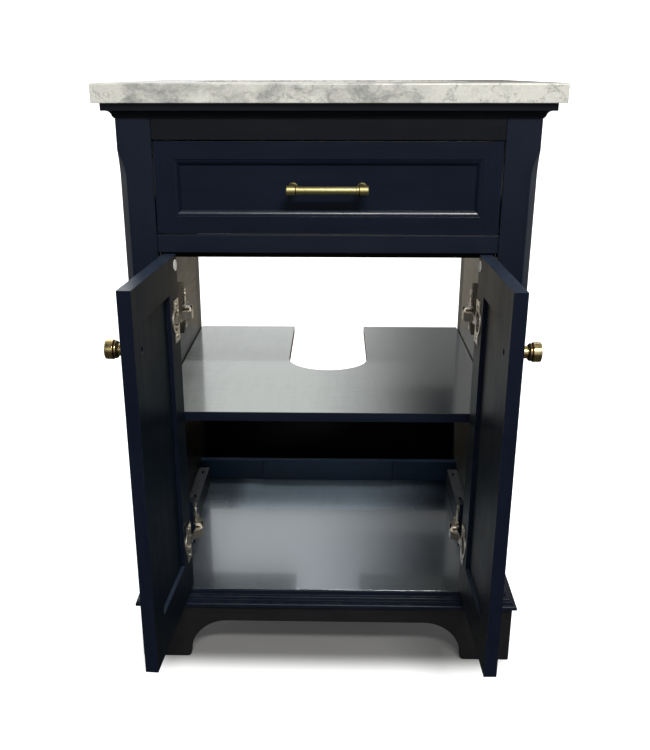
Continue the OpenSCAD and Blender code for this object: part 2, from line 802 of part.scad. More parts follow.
// Moulded edge along a rail whose inner side is at z, turned towards dir.
module rail_edge(z, dir, x_low, x_high) {
    intersection() {
        translate([x_low, 0, 0]) rotate([90, 0, 90]) linear_extrude(x_high - x_low)
            polygon([for (p = stick_profile()) [p[1], z + dir * p[0]]]);
        rotate([90, 0, 0]) translate([0, 0, -panel_recess]) linear_extrude(panel_recess)
            polygon([[x_low, z], [x_high, z],
                     [x_high - stick_w, z + dir * stick_w], [x_low + stick_w, z + dir * stick_w]]);
    }
}
module panel_space(w, h, stile, rails, play) {
    block([stile - groove_d - play, panel_recess - play, rails[0] - groove_d - play],
          [w - stile + groove_d + play, panel_recess + panel_t + play,
           h - rails[1] + groove_d + play]);
}
module framed_stiles(w, h, stile, rails) {
    difference() {
        union() {
            block([0, 0, 0], [stile, front_t, h]);
            block([w - stile, 0, 0], [w, front_t, h]);
        }
        panel_space(w, h, stile, rails, groove_play);
    }
    stile_edge(stile, 1, rails[0], h - rails[1]);
    stile_edge(w - stile, -1, rails[0], h - rails[1]);
}
module framed_rails(w, h, stile, rails) {
    difference() {
        union() {
            block([stile, 0, 0], [w - stile, front_t, rails[0]]);
            block([stile, 0, h - rails[1]], [w - stile, front_t, h]);
        }
        panel_space(w, h, stile, rails, groove_play);
    }
    rail_edge(rails[0], 1, stile, w - stile);
    rail_edge(h - rails[1], -1, stile, w - stile);
}
module framed_panel(w, h, stile, rails) {
    panel_space(w, h, stile, rails, 0);
}

// Tilt-out front, drawn shut as it stands.
drawer_w = 2 * (opening_x - drawer_gap);
drawer_h = drawer_opening_h - 2 * drawer_gap;
drawer_low = middle_top + drawer_gap;
drawer_rails_h = [drawer_rail_h, drawer_rail_h];
drawer_mid_z = drawer_low + drawer_h / 2;
module drawer_place() {
    translate([-drawer_w / 2, front_y, drawer_low]) children();
}
module drawer_stiles() {
    color(navy) drawer_place() framed_stiles(drawer_w, drawer_h, drawer_stile_w, drawer_rails_h);
}
module drawer_rails() {
    color(navy) drawer_place() framed_rails(drawer_w, drawer_h, drawer_stile_w, drawer_rails_h);
}
module drawer_panel() {
    color(navy) difference() {
        drawer_place() framed_panel(drawer_w, drawer_h, drawer_stile_w, drawer_rails_h);
        for (s = [-1, 1]) translate([s * pull_pitch / 2, front_y, drawer_mid_z]) rotate([-90, 0, 0])
            cylinder(r = screw_r, h = front_t, $fn = 24);
    }
}

// Bar pull: a round bar with stepped end caps on two posts with rosettes.
pull_y = front_y + panel_recess - pull_out;
rosette_r = 7.5;
rosette_t = 3;
cap_neck = 2;
pull_thread = 12;
module pull_bar() {
    color(brass) translate([0, pull_y, drawer_mid_z]) rotate([0, 90, 0]) {
        difference() {
            union() {
                cylinder(r = pull_r, h = pull_l - 2 * cap_neck, center = true);
                for (s = [-1, 1]) translate([0, 0, s * (pull_l - pull_cap_l) / 2])
                    rotate_extrude() polygon([
                        [0, -pull_cap_l / 2], [pull_cap_r - 1, -pull_cap_l / 2],
                        [pull_cap_r, 1 - pull_cap_l / 2], [pull_cap_r, pull_cap_l / 2 - 1],
                        [pull_cap_r - 1, pull_cap_l / 2], [0, pull_cap_l / 2]]);
            }
            for (s = [-1, 1]) translate([0, 0, s * pull_pitch / 2]) rotate([90, 0, 0])
                translate([0, 0, -pull_cap_r - cut_over])
                    cylinder(r = pull_post_r - 1, h = pull_cap_r + cut_over);
        }
    }
}
module pull_posts() {
    color(brass) for (s = [-1, 1])
        translate([s * pull_pitch / 2, front_y + panel_recess, drawer_mid_z]) rotate([90, 0, 0])
            difference() {
                rotate_extrude() polygon([
                    [0, 0], [rosette_r, 0], [rosette_r, rosette_t - 1], [rosette_r - 1, rosette_t],
                    [pull_post_r, rosette_t], [pull_post_r, pull_out - pull_cap_r],
                    [pull_post_r - 1, pull_out - pull_cap_r], [pull_post_r - 1, pull_out - 1],
                    [0, pull_out - 1]]);
                translate([0, 0, -cut_over]) cylinder(r = screw_r, h = pull_thread + cut_over, $fn = 24);
            }
}

// Two screws through the panel into the posts.
module pull_screws() {
    back_y = front_y + panel_recess + panel_t;
    color(steel) for (s = [-1, 1])
        translate([s * pull_pitch / 2, back_y, drawer_mid_z]) rotate([90, 0, 0]) {
            translate([0, 0, -screw_head_t]) cylinder(r = screw_head_r, h = screw_head_t, $fn = 32);
            cylinder(r = screw_r, h = panel_t + pull_thread, $fn = 24);
        }
}

// Tray on the back of the tilt-out front, open at the top.
tray_rise = 6;
tray_low = drawer_low + tray_rise;
module tilt_tray() {
    color(plastic) difference() {
        block([-tray_w / 2, door_back_y, tray_low],
              [tray_w / 2, door_back_y + tray_d, tray_low + tray_h]);
        block([tray_wall - tray_w / 2, door_back_y + tray_wall, tray_low + tray_wall],
              [tray_w / 2 - tray_wall, door_back_y + tray_d - tray_wall, tray_low + tray_h + cut_over]);
    }
}

// Tilt hinges: leaves on the front beside plates behind the posts.
leaf_t = 1.5;
leaf_h = 42;
leaf_l = 26;
leaf_inset = 4;
leaf_x = drawer_w / 2 - leaf_inset;
leaf_low = drawer_low + leaf_inset;
module tilt_leaves() {
    color(steel) both_sides() {
        block([leaf_x - leaf_l, door_back_y, leaf_low],
              [leaf_x, door_back_y + leaf_t, leaf_low + leaf_h]);
        block([leaf_x - leaf_t, door_back_y, leaf_low],
              [leaf_x, door_back_y + leaf_l, leaf_low + leaf_h]);
    }
}
module tilt_brackets() {
    plate_low_x = leaf_x + clear;
    color(steel) both_sides() {
        block([plate_low_x, frame_back_y + clear, leaf_low],
              [plate_low_x + leaf_t, frame_back_y + leaf_l, leaf_low + leaf_h]);
        block([plate_low_x, frame_back_y, leaf_low],
              [opening_x + post_w / 3, frame_back_y + leaf_t, leaf_low + leaf_h]);
    }
}

// Doors in their frames, with holes for the hinge cups and the knob.
door_rails_h = [door_bottom_rail_h, door_top_rail_h];
knob_x = door_w - knob_inset;
knob_z = door_h - knob_drop;
sink_r = 4.6;
sink_d = 8;
module door_local() {
    translate([door_edge_x, front_y, door_low]) children();
}
module door_stiles() {
    color(navy) difference() {
        framed_stiles(door_w, door_h, door_stile_w, door_rails_h);
        for (z = hinge_z) translate([cup_inset, front_t - cup_deep, z - door_low])
            rotate([-90, 0, 0]) cylinder(r = cup_r, h = cup_deep + cut_over, $fn = fine);
        translate([knob_x, -cut_over, knob_z]) rotate([-90, 0, 0]) {
            cylinder(r = screw_r, h = front_t + 2 * cut_over, $fn = 24);
            translate([0, 0, front_t + cut_over - sink_d])
                cylinder(r = sink_r, h = sink_d + cut_over, $fn = 32);
        }
    }
}
module door_rails() {
    color(navy) framed_rails(door_w, door_h, door_stile_w, door_rails_h);
}
module door_panel() {
    color(navy) framed_panel(door_w, door_h, door_stile_w, door_rails_h);
}

// Hinge cup with its flange, and the cranked link that swings between the arm's forks.
// The link's side view has its first coordinate across the door and its second into it.
cup_floor = 1.5;
cup_skin = 2.5;
flange_shift = 4;
link_low = 2.8;
link_high = 16;
link_deep = 6;
link_in = cup_inset - sqrt(cup_r * cup_r - link_h * link_h / 4) + 0.5;
link_side = [
    [cup_inset - link_deep, -link_deep], [cup_inset - link_deep, 2], [6, 4.6], [-2, 4.6],
    [-12, link_high], [-link_reach, link_high], [-link_reach, 9], [-10, link_low], [0, link_low],
    [link_in, 0.5], [link_in + flange_t, -link_deep]];
module hinge_cups() {
    color(steel) for (z = hinge_z) translate([0, front_t, z - door_low]) {
        difference() {
            union() {
                translate([cup_inset, -cup_deep, 0]) rotate([-90, 0, 0])
                    cylinder(r = cup_r, h = cup_deep, $fn = fine);
                block([cup_inset - flange_w / 2 - flange_shift, 0, -flange_h / 2],
                      [cup_inset + flange_w / 2 - flange_shift, flange_t, flange_h / 2]);
                translate([cup_inset, 0, 0]) rotate([-90, 0, 0])
                    cylinder(r = cup_r + 2, h = flange_t, $fn = fine);
            }
            translate([cup_inset, cup_floor - cup_deep, 0]) rotate([-90, 0, 0])
                cylinder(r = cup_r - cup_skin, h = cup_deep + flange_t, $fn = fine);
            for (s = [-1, 1])
                translate([cup_inset - flange_shift, -cut_over, s * (flange_h / 2 - screw_edge)])
                    rotate([-90, 0, 0])
                        cylinder(r = screw_r, h = flange_t + 2 * cut_over, $fn = 24);
        }
        translate([0, 0, -link_h / 2]) linear_extrude(link_h) polygon(link_side);
    }
}

// Round knob with a flared stem and a stepped head, and the screw that holds it.
knob_head_l = 15;
knob_thread = 10;
module knob() {
    stem_end = knob_l - knob_head_l;
    color(brass) translate([knob_x, 0, knob_z]) rotate([90, 0, 0]) difference() {
        rotate_extrude($fn = fine) polygon([
            [0, 0], [knob_stem_r + 1.2, 0], [knob_stem_r + 1.2, 1.5], [knob_stem_r, 3],
            [knob_stem_r, stem_end - 1], [knob_r - 3.2, stem_end], [knob_r - 2.4, stem_end + 0.8],
            [knob_r - 2.4, stem_end + 2.6], [knob_r - 1, stem_end + 3.4], [knob_r - 0.7, stem_end + 5.6],
            [knob_r - 1.3, stem_end + 6.2], [knob_r - 1.3, stem_end + 6.8], [knob_r, stem_end + 7.4],
            [knob_r, knob_l - 1], [knob_r - 1, knob_l], [0, knob_l]]);
        translate([0, 0, -cut_over]) cylinder(r = screw_r, h = knob_thread + cut_over, $fn = 24);
    }
}
module knob_screw() {
    head_y = front_t - sink_d;
    color(steel) translate([knob_x, head_y, knob_z]) rotate([90, 0, 0]) {
        translate([0, 0, -screw_head_t]) cylinder(r = screw_head_r, h = screw_head_t, $fn = 32);
        cylinder(r = screw_r, h = head_y + knob_thread, $fn = 24);
    }
}

// Round felt pad near the upper hinge corner of a door's back.
pad_r = 8;
pad_t = 1.6;
pad_inset = 12;
pad_drop = 14;
module felt_pad() {
    color(felt) translate([pad_inset, front_t, door_h - pad_drop]) rotate([-90, 0, 0])
        cylinder(r = pad_r, h = pad_t);
}

module left_door_stiles() { left_door_place() door_local() door_stiles(); }
module left_door_rails() { left_door_place() door_local() door_rails(); }
module left_door_panel() { left_door_place() door_local() door_panel(); }
module left_hinge_cups() { left_door_place() door_local() hinge_cups(); }
module left_knob() { left_door_place() door_local() knob(); }
module left_knob_screw() { left_door_place() door_local() knob_screw(); }
module left_felt_pad() { left_door_place() door_local() felt_pad(); }
module right_door_stiles() { right_door_place() door_local() door_stiles(); }
module right_door_rails() { right_door_place() door_local() door_rails(); }
module right_door_panel() { right_door_place() door_local() door_panel(); }
module right_hinge_cups() { right_door_place() door_local() hinge_cups(); }
module right_knob() { right_door_place() door_local() knob(); }
module right_knob_screw() { right_door_place() door_local() knob_screw(); }
module right_felt_pad() { right_door_place() door_local() felt_pad(); }

marble_top();
basin();
basin_clips();
crown_front();
crown_sides();
front_post_left();
front_post_right();
rear_post_left();
rear_post_right();
side_panel_left();
side_panel_right();
side_rails_left();
side_rails_right();
top_rail();
middle_rail();
bottom_rail();
door_stop();
back_top_rail();
low_back_rail();
stop_plate();
lower_back_panel();
floor_panel();
shelf();
shelf_pins();
base_front();
base_left();
base_right();
base_moulding_front();
base_moulding_left();
base_moulding_right();
corner_blocks();
runner_brackets();
runner_slides();
hinge_blocks();
hinge_arms();
hinge_arm_screws();
tilt_brackets();
drawer_stiles();
drawer_rails();
drawer_panel();
pull_bar();
pull_posts();
pull_screws();
tilt_tray();
tilt_leaves();
left_door_stiles();
left_door_rails();
left_door_panel();
left_hinge_cups();
left_knob();
left_knob_screw();
left_felt_pad();
right_door_stiles();
right_door_rails();
right_door_panel();
right_hinge_cups();
right_knob();
right_knob_screw();
right_felt_pad();
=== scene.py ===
import bmesh
import bpy
import json
import math
from mathutils import Matrix, Vector


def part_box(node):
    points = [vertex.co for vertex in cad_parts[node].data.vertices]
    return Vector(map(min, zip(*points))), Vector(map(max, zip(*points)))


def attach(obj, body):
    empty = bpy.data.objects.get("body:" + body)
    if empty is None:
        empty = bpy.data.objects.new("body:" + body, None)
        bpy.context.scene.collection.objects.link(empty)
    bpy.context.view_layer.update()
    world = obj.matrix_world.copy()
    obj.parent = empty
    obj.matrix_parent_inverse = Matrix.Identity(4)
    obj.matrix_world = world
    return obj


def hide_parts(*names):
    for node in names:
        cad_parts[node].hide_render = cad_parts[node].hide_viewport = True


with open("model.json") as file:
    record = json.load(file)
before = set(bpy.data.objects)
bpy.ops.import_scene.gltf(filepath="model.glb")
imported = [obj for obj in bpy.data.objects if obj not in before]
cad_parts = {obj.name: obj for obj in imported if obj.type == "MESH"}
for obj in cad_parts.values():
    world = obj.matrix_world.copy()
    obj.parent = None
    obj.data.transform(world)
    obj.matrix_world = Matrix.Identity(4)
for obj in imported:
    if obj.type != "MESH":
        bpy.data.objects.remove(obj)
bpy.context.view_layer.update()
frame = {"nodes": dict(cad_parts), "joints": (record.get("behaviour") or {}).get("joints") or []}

scene = bpy.context.scene
scene.view_settings.view_transform = "Standard"

# Camera. The photograph looks down by 21 degrees at the open cabinet from 1.3 m in front of its doors.
# Its picture was cropped, so the lens has a small shift.
camera_data = bpy.data.cameras.new("photo_camera")
camera = bpy.data.objects.new("photo_camera", camera_data)
scene.collection.objects.link(camera)
camera_data.sensor_width = 36.0
camera_data.lens = 43.90
camera_data.shift_x = 0.0160
camera_data.shift_y = 0.0670
camera.location = (0.0108, -1.8353, 0.9108)
camera.rotation_euler = (math.radians(90 - 21.1), math.radians(0.04), math.radians(1.36))
scene.camera = camera


# Studio sweep: white paper that runs from the floor up behind the unit in one curve, so no corner shows.
# It keeps the unit's soft shadow, deepened by painted shadow: near the unit it glows less to the camera and its
# tone drops.
# It glows to the camera away from the unit, as the photograph's cut-out does, and to reflections it glows as
# the photograph's unknown room seems to. To reflections alone it glows unevenly, a painted reflection of a
# room.
def new_material(name):
    material = bpy.data.materials.new(name)
    material.use_nodes = True
    material.node_tree.nodes.clear()
    return material, material.node_tree


def link_up(tree, kind, sockets=None, **settings):
    """A node of this kind, its settings, and its sockets as plain values or as links from other sockets."""
    node = tree.nodes.new(kind)
    for key, value in settings.items():
        setattr(node, key, value)
    for key, value in (sockets or {}).items():
        if isinstance(value, bpy.types.NodeSocket):
            tree.links.new(value, node.inputs[key])
        else:
            is_colour = node.inputs[key].type == "RGBA"
            node.inputs[key].default_value = (*value, 1) if is_colour else value
    return node


def calc(tree, operation, *values, **settings):
    """What a Math node makes of these values."""
    return link_up(tree, "ShaderNodeMath", dict(enumerate(values)), operation=operation, **settings).outputs[0]


def vector_calc(tree, operation, *values, **sockets):
    """What a Vector Math node makes of these vectors."""
    node = link_up(tree, "ShaderNodeVectorMath", {**dict(enumerate(values)), **sockets}, operation=operation)
    return node.outputs["Value" if operation in ("LENGTH", "DOT_PRODUCT") else "Vector"]


def ranged(tree, value, low, high, to_low=0.0, to_high=1.0, smooth=False):
    """The value moved from one range to another and held there, with soft ends where smooth is set."""
    return link_up(tree, "ShaderNodeMapRange", {"Value": value, "From Min": low, "From Max": high,
                                                "To Min": to_low, "To Max": to_high},
                   interpolation_type="SMOOTHSTEP" if smooth else "LINEAR").outputs[0]


def blend(tree, share, first, second, data_type="RGBA"):
    """The first colour, with a share of the second. With FLOAT they are plain values."""
    # A Mix node has sockets of its own for each data type, so they are found by place.
    a, b, result = (6, 7, 2) if data_type == "RGBA" else (2, 3, 0)
    return link_up(tree, "ShaderNodeMix", {0: share, a: first, b: second}, data_type=data_type).outputs[result]


def split(tree, vector):
    return link_up(tree, "ShaderNodeSeparateXYZ", {0: vector}).outputs


sweep_half_width = 6.0
sweep_wall_y = 1.34
sweep_wall_top = 4.5
sweep_radius = 0.55
sweep_steps = 24
sweep_profile = [(-7.0, 0.0), (-3.0, 0.0), (-1.5, 0.0)]
for i in range(sweep_steps + 1):
    turn = math.radians(90 * i / sweep_steps)
    sweep_profile.append((sweep_wall_y - sweep_radius * (1 - math.sin(turn)),
                          sweep_radius * (1 - math.cos(turn))))
sweep_profile += [(sweep_wall_y, 1.5), (sweep_wall_y, sweep_wall_top)]
sweep_mesh = bpy.data.meshes.new("studio_sweep")
sweep_verts = [(x, y, z) for y, z in sweep_profile for x in (-sweep_half_width, sweep_half_width)]
sweep_faces = [(2 * i, 2 * i + 1, 2 * i + 3, 2 * i + 2) for i in range(len(sweep_profile) - 1)]
sweep_mesh.from_pydata(sweep_verts, [], sweep_faces)
for polygon in sweep_mesh.polygons:
    polygon.use_smooth = True
sweep = bpy.data.objects.new("studio_sweep", sweep_mesh)
scene.collection.objects.link(sweep)

footprint_middle_y = -0.29
footprint_half = (0.25, 0.245, 0.0)
paper, tree = new_material("studio_paper")
spot = link_up(tree, "ShaderNodeNewGeometry").outputs
ray = link_up(tree, "ShaderNodeLightPath").outputs
axes = split(tree, spot["Position"])
# How far a spot on the floor lies outside the unit's footprint.
centred = vector_calc(tree, "ADD", spot["Position"], (0.0, -footprint_middle_y, 0.0))
beyond = vector_calc(tree, "SUBTRACT", vector_calc(tree, "ABSOLUTE", centred), footprint_half)
away = vector_calc(tree, "LENGTH", vector_calc(tree, "MAXIMUM", beyond, (0.0, 0.0, 0.0)))
# Painted shadow: round the unit's footprint the paper glows almost nothing to the camera.
glow_with_painted_shadow = ranged(tree, away, 0.0, 0.10, 0.04, 0.97, smooth=True)
seen = calc(tree, "MULTIPLY", ray["Is Camera Ray"], glow_with_painted_shadow)
# Painted reflection, seen by gloss alone: a bright wall behind the left and middle, fainter to the right, and
# dim and warm low down.
to_left = ranged(tree, axes["X"], -0.15, 0.42, 1.0, 0.02, smooth=True)
under_edge = ranged(tree, to_left, 0.0, 1.0, 0.26, 1.0)
edge = ranged(tree, axes["Z"], 0.985, 1.02, smooth=True)
high_glow = blend(tree, edge, under_edge, to_left, "FLOAT")
rise = ranged(tree, axes["Z"], 0.50, 0.66, smooth=True)
behind = ranged(tree, axes["Y"], 0.0, 0.5, 0.04, 0.40, smooth=True)
painted_wall_glow = blend(tree, rise, behind, high_glow, "FLOAT")
painted_reflection_glow = calc(tree, "MULTIPLY", ray["Is Glossy Ray"], painted_wall_glow)
shown = calc(tree, "ADD", seen, painted_reflection_glow)
warm = calc(tree, "MULTIPLY", ray["Is Glossy Ray"], calc(tree, "SUBTRACT", 1.0, rise))
tone = blend(tree, warm, (1, 1, 1), (1, 0.91, 0.74))
paper_glow = link_up(tree, "ShaderNodeEmission", {"Color": tone, "Strength": shown})
# The paper's tone is lower far in front, and lowered round the footprint as painted shade.
in_front = ranged(tree, axes["Y"], -1.2, -0.62, 0.26, 0.80, smooth=True)
darker = ranged(tree, away, 0.0, 0.06, 0.30, 1.0, smooth=True)
paper_tone_with_painted_shade = calc(tree, "MULTIPLY", in_front, darker)
seen_plain = calc(tree, "SUBTRACT", 1.0, ray["Is Glossy Ray"])
paper_skin = link_up(tree, "ShaderNodeBsdfDiffuse", {"Color": calc(tree, "MULTIPLY", paper_tone_with_painted_shade, seen_plain)})
both = link_up(tree, "ShaderNodeAddShader", {0: paper_glow.outputs[0], 1: paper_skin.outputs[0]})
# From behind, the paper is clear, so that the wall doesn't hide the unit's back.
from_behind = calc(tree, "MULTIPLY", spot["Backfacing"], ray["Is Camera Ray"])
clear = link_up(tree, "ShaderNodeBsdfTransparent")
sheet = link_up(tree, "ShaderNodeMixShader", {0: from_behind, 1: both.outputs[0], 2: clear.outputs[0]})
link_up(tree, "ShaderNodeOutputMaterial", {"Surface": sheet.outputs[0]})
sweep_mesh.materials.append(paper)


# Lamps: a key high in front and a little to the right, weak fills in front, above, low and behind, and a
# large one at each side. The key is narrow from top to bottom, so the shelf throws a fairly crisp shadow.
def softbox(name, place, aim, width, height, power, colour=(1, 1, 1)):
    lamp = bpy.data.lights.new(name, "AREA")
    lamp.shape = "RECTANGLE"
    lamp.size = width
    lamp.size_y = height
    lamp.energy = power
    lamp.color = colour
    holder = bpy.data.objects.new(name, lamp)
    scene.collection.objects.link(holder)
    holder.location = place
    holder.rotation_euler = (Vector(aim) - Vector(place)).to_track_quat("-Z", "Y").to_euler()


softbox("key", (0.55, -2.9, 2.65), (0, -0.3, 0.35), 1.3, 0.30, 80, (1, 0.98, 0.94))
softbox("fill", (-0.15, -3.4, 1.5), (0, -0.4, 0.5), 2.4, 1.2, 10, (0.93, 0.96, 1))
softbox("overhead", (0, -0.4, 3.2), (0, -0.4, 0), 2.6, 2.0, 5)
softbox("left_fill", (-3.3, 0.2, 1.7), (-0.3, -0.3, 0.4), 2.4, 1.6, 36, (0.96, 0.98, 1))
softbox("right_fill", (3.3, 0.2, 1.7), (0.3, -0.3, 0.4), 2.4, 1.6, 26, (0.96, 0.98, 1))
softbox("rear_fill", (0, 1.15, 2.3), (0, 0, 0.6), 2.0, 0.4, 6)
softbox("low_fill", (0, -3.2, 0.45), (0, -0.6, 0.15), 2.2, 0.5, 2.5, (0.93, 0.96, 1))
world = bpy.data.worlds.new("studio_air")
world.use_nodes = True
scene.world = world
air = world.node_tree
ray = link_up(air, "ShaderNodeLightPath").outputs
for_diffuse = calc(air, "MULTIPLY", ray["Is Diffuse Ray"], 0.13)
for_both = calc(air, "MULTIPLY_ADD", ray["Is Glossy Ray"], 0.03, for_diffuse)
for_all = calc(air, "MULTIPLY_ADD", ray["Is Camera Ray"], 1.0, for_both)
air.links.new(for_all, air.nodes["Background"].inputs["Strength"])
air.nodes["Background"].inputs["Color"].default_value = (1, 1, 1, 1)


# Cabinet case: hardwood posts and rails with moisture-resistant board sides, glued and dowelled, then sprayed
# with navy satin lacquer. The sprayer's film rounds each arris, pools a little in corners and thins on edges.
def noise(tree, vector, scale, detail=2.0, roughness=0.5, distortion=0.0):
    return link_up(tree, "ShaderNodeTexNoise", {"Vector": vector, "Scale": scale, "Detail": detail,
                                                "Roughness": roughness, "Distortion": distortion}).outputs[0]


def object_place(tree):
    return link_up(tree, "ShaderNodeTexCoord").outputs["Object"]


def surface(tree, sockets, relief=None, distance=0.0, strength=0.0):
    """Ends a material with a Principled shader and, where there is relief, its bump."""
    if relief is not None:
        bump = link_up(tree, "ShaderNodeBump", {"Height": relief, "Distance": distance, "Strength": strength})
        sockets = {**sockets, "Normal": bump.outputs[0]}
    shader = link_up(tree, "ShaderNodeBsdfPrincipled", sockets)
    link_up(tree, "ShaderNodeOutputMaterial", {"Surface": shader.outputs[0]})


def skin_group(name, inputs):
    """A node group for a finish, with these inputs and a colour, a roughness and a relief to come out."""
    group = bpy.data.node_groups.new(name, "ShaderNodeTree")
    for label, kind, value in inputs:
        socket = group.interface.new_socket(label, in_out="INPUT", socket_type="NodeSocket" + kind)
        socket.default_value = value
    for label, kind in (("Colour", "Color"), ("Roughness", "Float"), ("Relief", "Float")):
        group.interface.new_socket(label, in_out="OUTPUT", socket_type="NodeSocket" + kind)
    return group, group.nodes.new("NodeGroupInput").outputs


def lacquer_skin_group():
    """Sprayed film: cloudy depth, faint brush-fine grain under it, orange-peel relief, dust and worn edges."""
    group, start = skin_group("lacquer_skin", (
        ("Film", "Color", (0.02, 0.02, 0.03, 1)), ("Thin Film", "Color", (0.1, 0.06, 0.04, 1)),
        ("Dust Colour", "Color", (0.5, 0.5, 0.48, 1)), ("Grain", "Vector", (1, 1, 1)),
        ("Cloud", "Float", 0.2), ("Wear", "Float", 0.4), ("Wear Width", "Float", 0.0012),
        ("Dust", "Float", 0.05), ("Satin", "Float", 0.36)))
    where = object_place(group)
    stretched = vector_calc(group, "MULTIPLY", where, start["Grain"])
    cloud = noise(group, where, 9.0, 4.0, 0.6)
    grain = noise(group, stretched, 120.0, 5.0, 0.62)
    peel = noise(group, where, 620.0)
    cloud_level = ranged(group, cloud, 0.3, 0.7, -0.5, 0.5)
    grain_level = ranged(group, grain, 0.35, 0.65, -0.3, 0.3)
    mixed = calc(group, "ADD", cloud_level, grain_level)
    gain = calc(group, "MULTIPLY_ADD", mixed, start["Cloud"], 1.0)
    depth = vector_calc(group, "SCALE", start["Film"], Scale=gain)
    # Worn arrises: where the rounded normal leaves the true one, broken up by noise.
    rounded = link_up(group, "ShaderNodeBevel", {"Radius": start["Wear Width"]}, samples=4).outputs[0]
    true = link_up(group, "ShaderNodeNewGeometry").outputs["Normal"]
    edge = ranged(group, vector_calc(group, "DOT_PRODUCT", rounded, true), 0.995, 0.86)
    chips = ranged(group, noise(group, where, 46.0, 6.0, 0.7), 0.47, 0.68)
    worn = calc(group, "MULTIPLY", calc(group, "MULTIPLY", edge, chips), start["Wear"])
    edged = blend(group, worn, depth, start["Thin Film"])
    lying = ranged(group, split(group, true)["Z"], 0.5, 1.0)
    specks = ranged(group, noise(group, where, 75.0, 8.0, 0.75), 0.42, 0.8)
    dusty = calc(group, "MULTIPLY", calc(group, "MULTIPLY", lying, specks), start["Dust"])
    final = blend(group, dusty, edged, start["Dust Colour"])
    rough = calc(group, "MULTIPLY_ADD", mixed, 0.10, start["Satin"])
    for part, much in ((worn, 0.2), (dusty, 0.6)):
        rough = calc(group, "MULTIPLY_ADD", part, much, rough)
    relief = calc(group, "MULTIPLY_ADD", grain, 0.45, peel)
    link_up(group, "NodeGroupOutput", {"Colour": final, "Roughness": rough, "Relief": relief})
    return group


lacquer_skin = lacquer_skin_group()
grain_up, grain_across, grain_deep = (1, 1, 0.06), (0.06, 1, 1), (1, 0.06, 1)


def lacquer(name, film, grain=(1, 1, 1), satin=0.36, wear=0.45, cloud=0.25, thin=(0.075, 0.045, 0.032),
            specular=0.20):
    """Lacquer of this film colour over wood whose grain runs along the axis with the small number."""
    material, tree = new_material(name)
    skin = link_up(tree, "ShaderNodeGroup", {
        "Film": film, "Thin Film": thin, "Grain": grain, "Satin": satin, "Wear": wear, "Cloud": cloud},
        node_tree=lacquer_skin).outputs
    surface(tree, {"Base Color": skin["Colour"], "Roughness": skin["Roughness"],
                   "Specular IOR Level": specular},
            skin["Relief"], 0.00012, 0.6)
    return material


def round_over(piece, width, rings, corner, miter="MITER_SHARP"):
    """Rounds the arrises where faces turn by more than corner degrees."""
    bevel = piece.modifiers.new("round_over", "BEVEL")
    bevel.width = width
    bevel.segments = rings
    bevel.limit_method = "ANGLE"
    bevel.angle_limit = math.radians(corner)
    bevel.miter_outer = miter


def eased(nodes, body, material, arris, rings=2, corner=32, inside=None):
    """A copy of CAD nodes as one welded piece with rounded arrises, which stands for them.
    Faces that look towards the middle of the cabinet take the inside material, where there is one."""
    piece_name = "eased_" + nodes[0]
    joined = bmesh.new()
    for node in nodes:
        joined.from_mesh(frame["nodes"][node].data)
    bmesh.ops.remove_doubles(joined, verts=joined.verts, dist=2e-6)
    bmesh.ops.dissolve_limit(joined, angle_limit=math.radians(0.6), verts=joined.verts, edges=joined.edges)
    for face in joined.faces:
        face.smooth = True
    mesh = bpy.data.meshes.new(piece_name)
    joined.to_mesh(mesh)
    joined.free()
    piece = bpy.data.objects.new(piece_name, mesh)
    scene.collection.objects.link(piece)
    if arris:
        round_over(piece, arris, rings, corner, "MITER_ARC")
    smooth_and_apply(piece, corner)
    piece.data.materials.clear()
    piece.data.materials.append(material)
    for polygon in piece.data.polygons:
        polygon.material_index = 0
    if inside:
        give_faces(piece, inside, lambda face: face.normal.x * face.center.x < -0.5 * abs(face.center.x))
    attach(piece, body)
    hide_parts(*nodes)
    return piece


def give_faces(piece, material, chosen):
    """Gives the faces that are chosen a material of their own."""
    piece.data.materials.append(material)
    for polygon in piece.data.polygons:
        if chosen(polygon):
            polygon.material_index = len(piece.data.materials) - 1


def bake(piece):
    """Turns what the modifiers make into the piece's own plain mesh."""
    bpy.context.view_layer.update()
    depsgraph = bpy.context.evaluated_depsgraph_get()
    finished = bpy.data.meshes.new_from_object(piece.evaluated_get(depsgraph))
    piece.modifiers.clear()
    old = piece.data
    piece.data = finished
    if old.users == 0:
        bpy.data.meshes.remove(old)


def smooth_and_apply(piece, corner):
    """Bakes the mesh and shades it smooth except at sharp corners. Broad flats keep their own true normals."""
    bake(piece)
    piece.data.shade_smooth()
    piece.data.set_sharp_from_angle(angle=math.radians(corner))
    weighted = piece.modifiers.new("flat_faces", "WEIGHTED_NORMAL")
    weighted.keep_sharp = True
    bake(piece)


navy = (0.0050, 0.0082, 0.0190)
navy_upright = lacquer("navy_lacquer_upright", navy, grain_up, wear=0.12)
navy_across = lacquer("navy_lacquer_across", navy, grain_across, wear=0.12)
navy_deep = lacquer("navy_lacquer_front_to_back", navy, grain_deep, wear=0.2)
# Painted light: a lighter film, a painted highlight, on narrow faces that turn to the light, and a darker one,
# painted shade, under the stone.
painted_highlight_film = lacquer("navy_lacquer_painted_highlight", (0.016, 0.023, 0.037), grain_up, satin=0.32, wear=0.1,
                   specular=0.6)
painted_shade_across = lacquer("navy_lacquer_shaded", (0.0048, 0.0060, 0.0094), grain_across, specular=0.14)
# The door stop's near-black film is painted shade behind the middle rail.
stop_painted_shade = lacquer("navy_lacquer_door_stop_painted_shade", (0.0045, 0.0052, 0.0062), satin=0.6, specular=0.02)
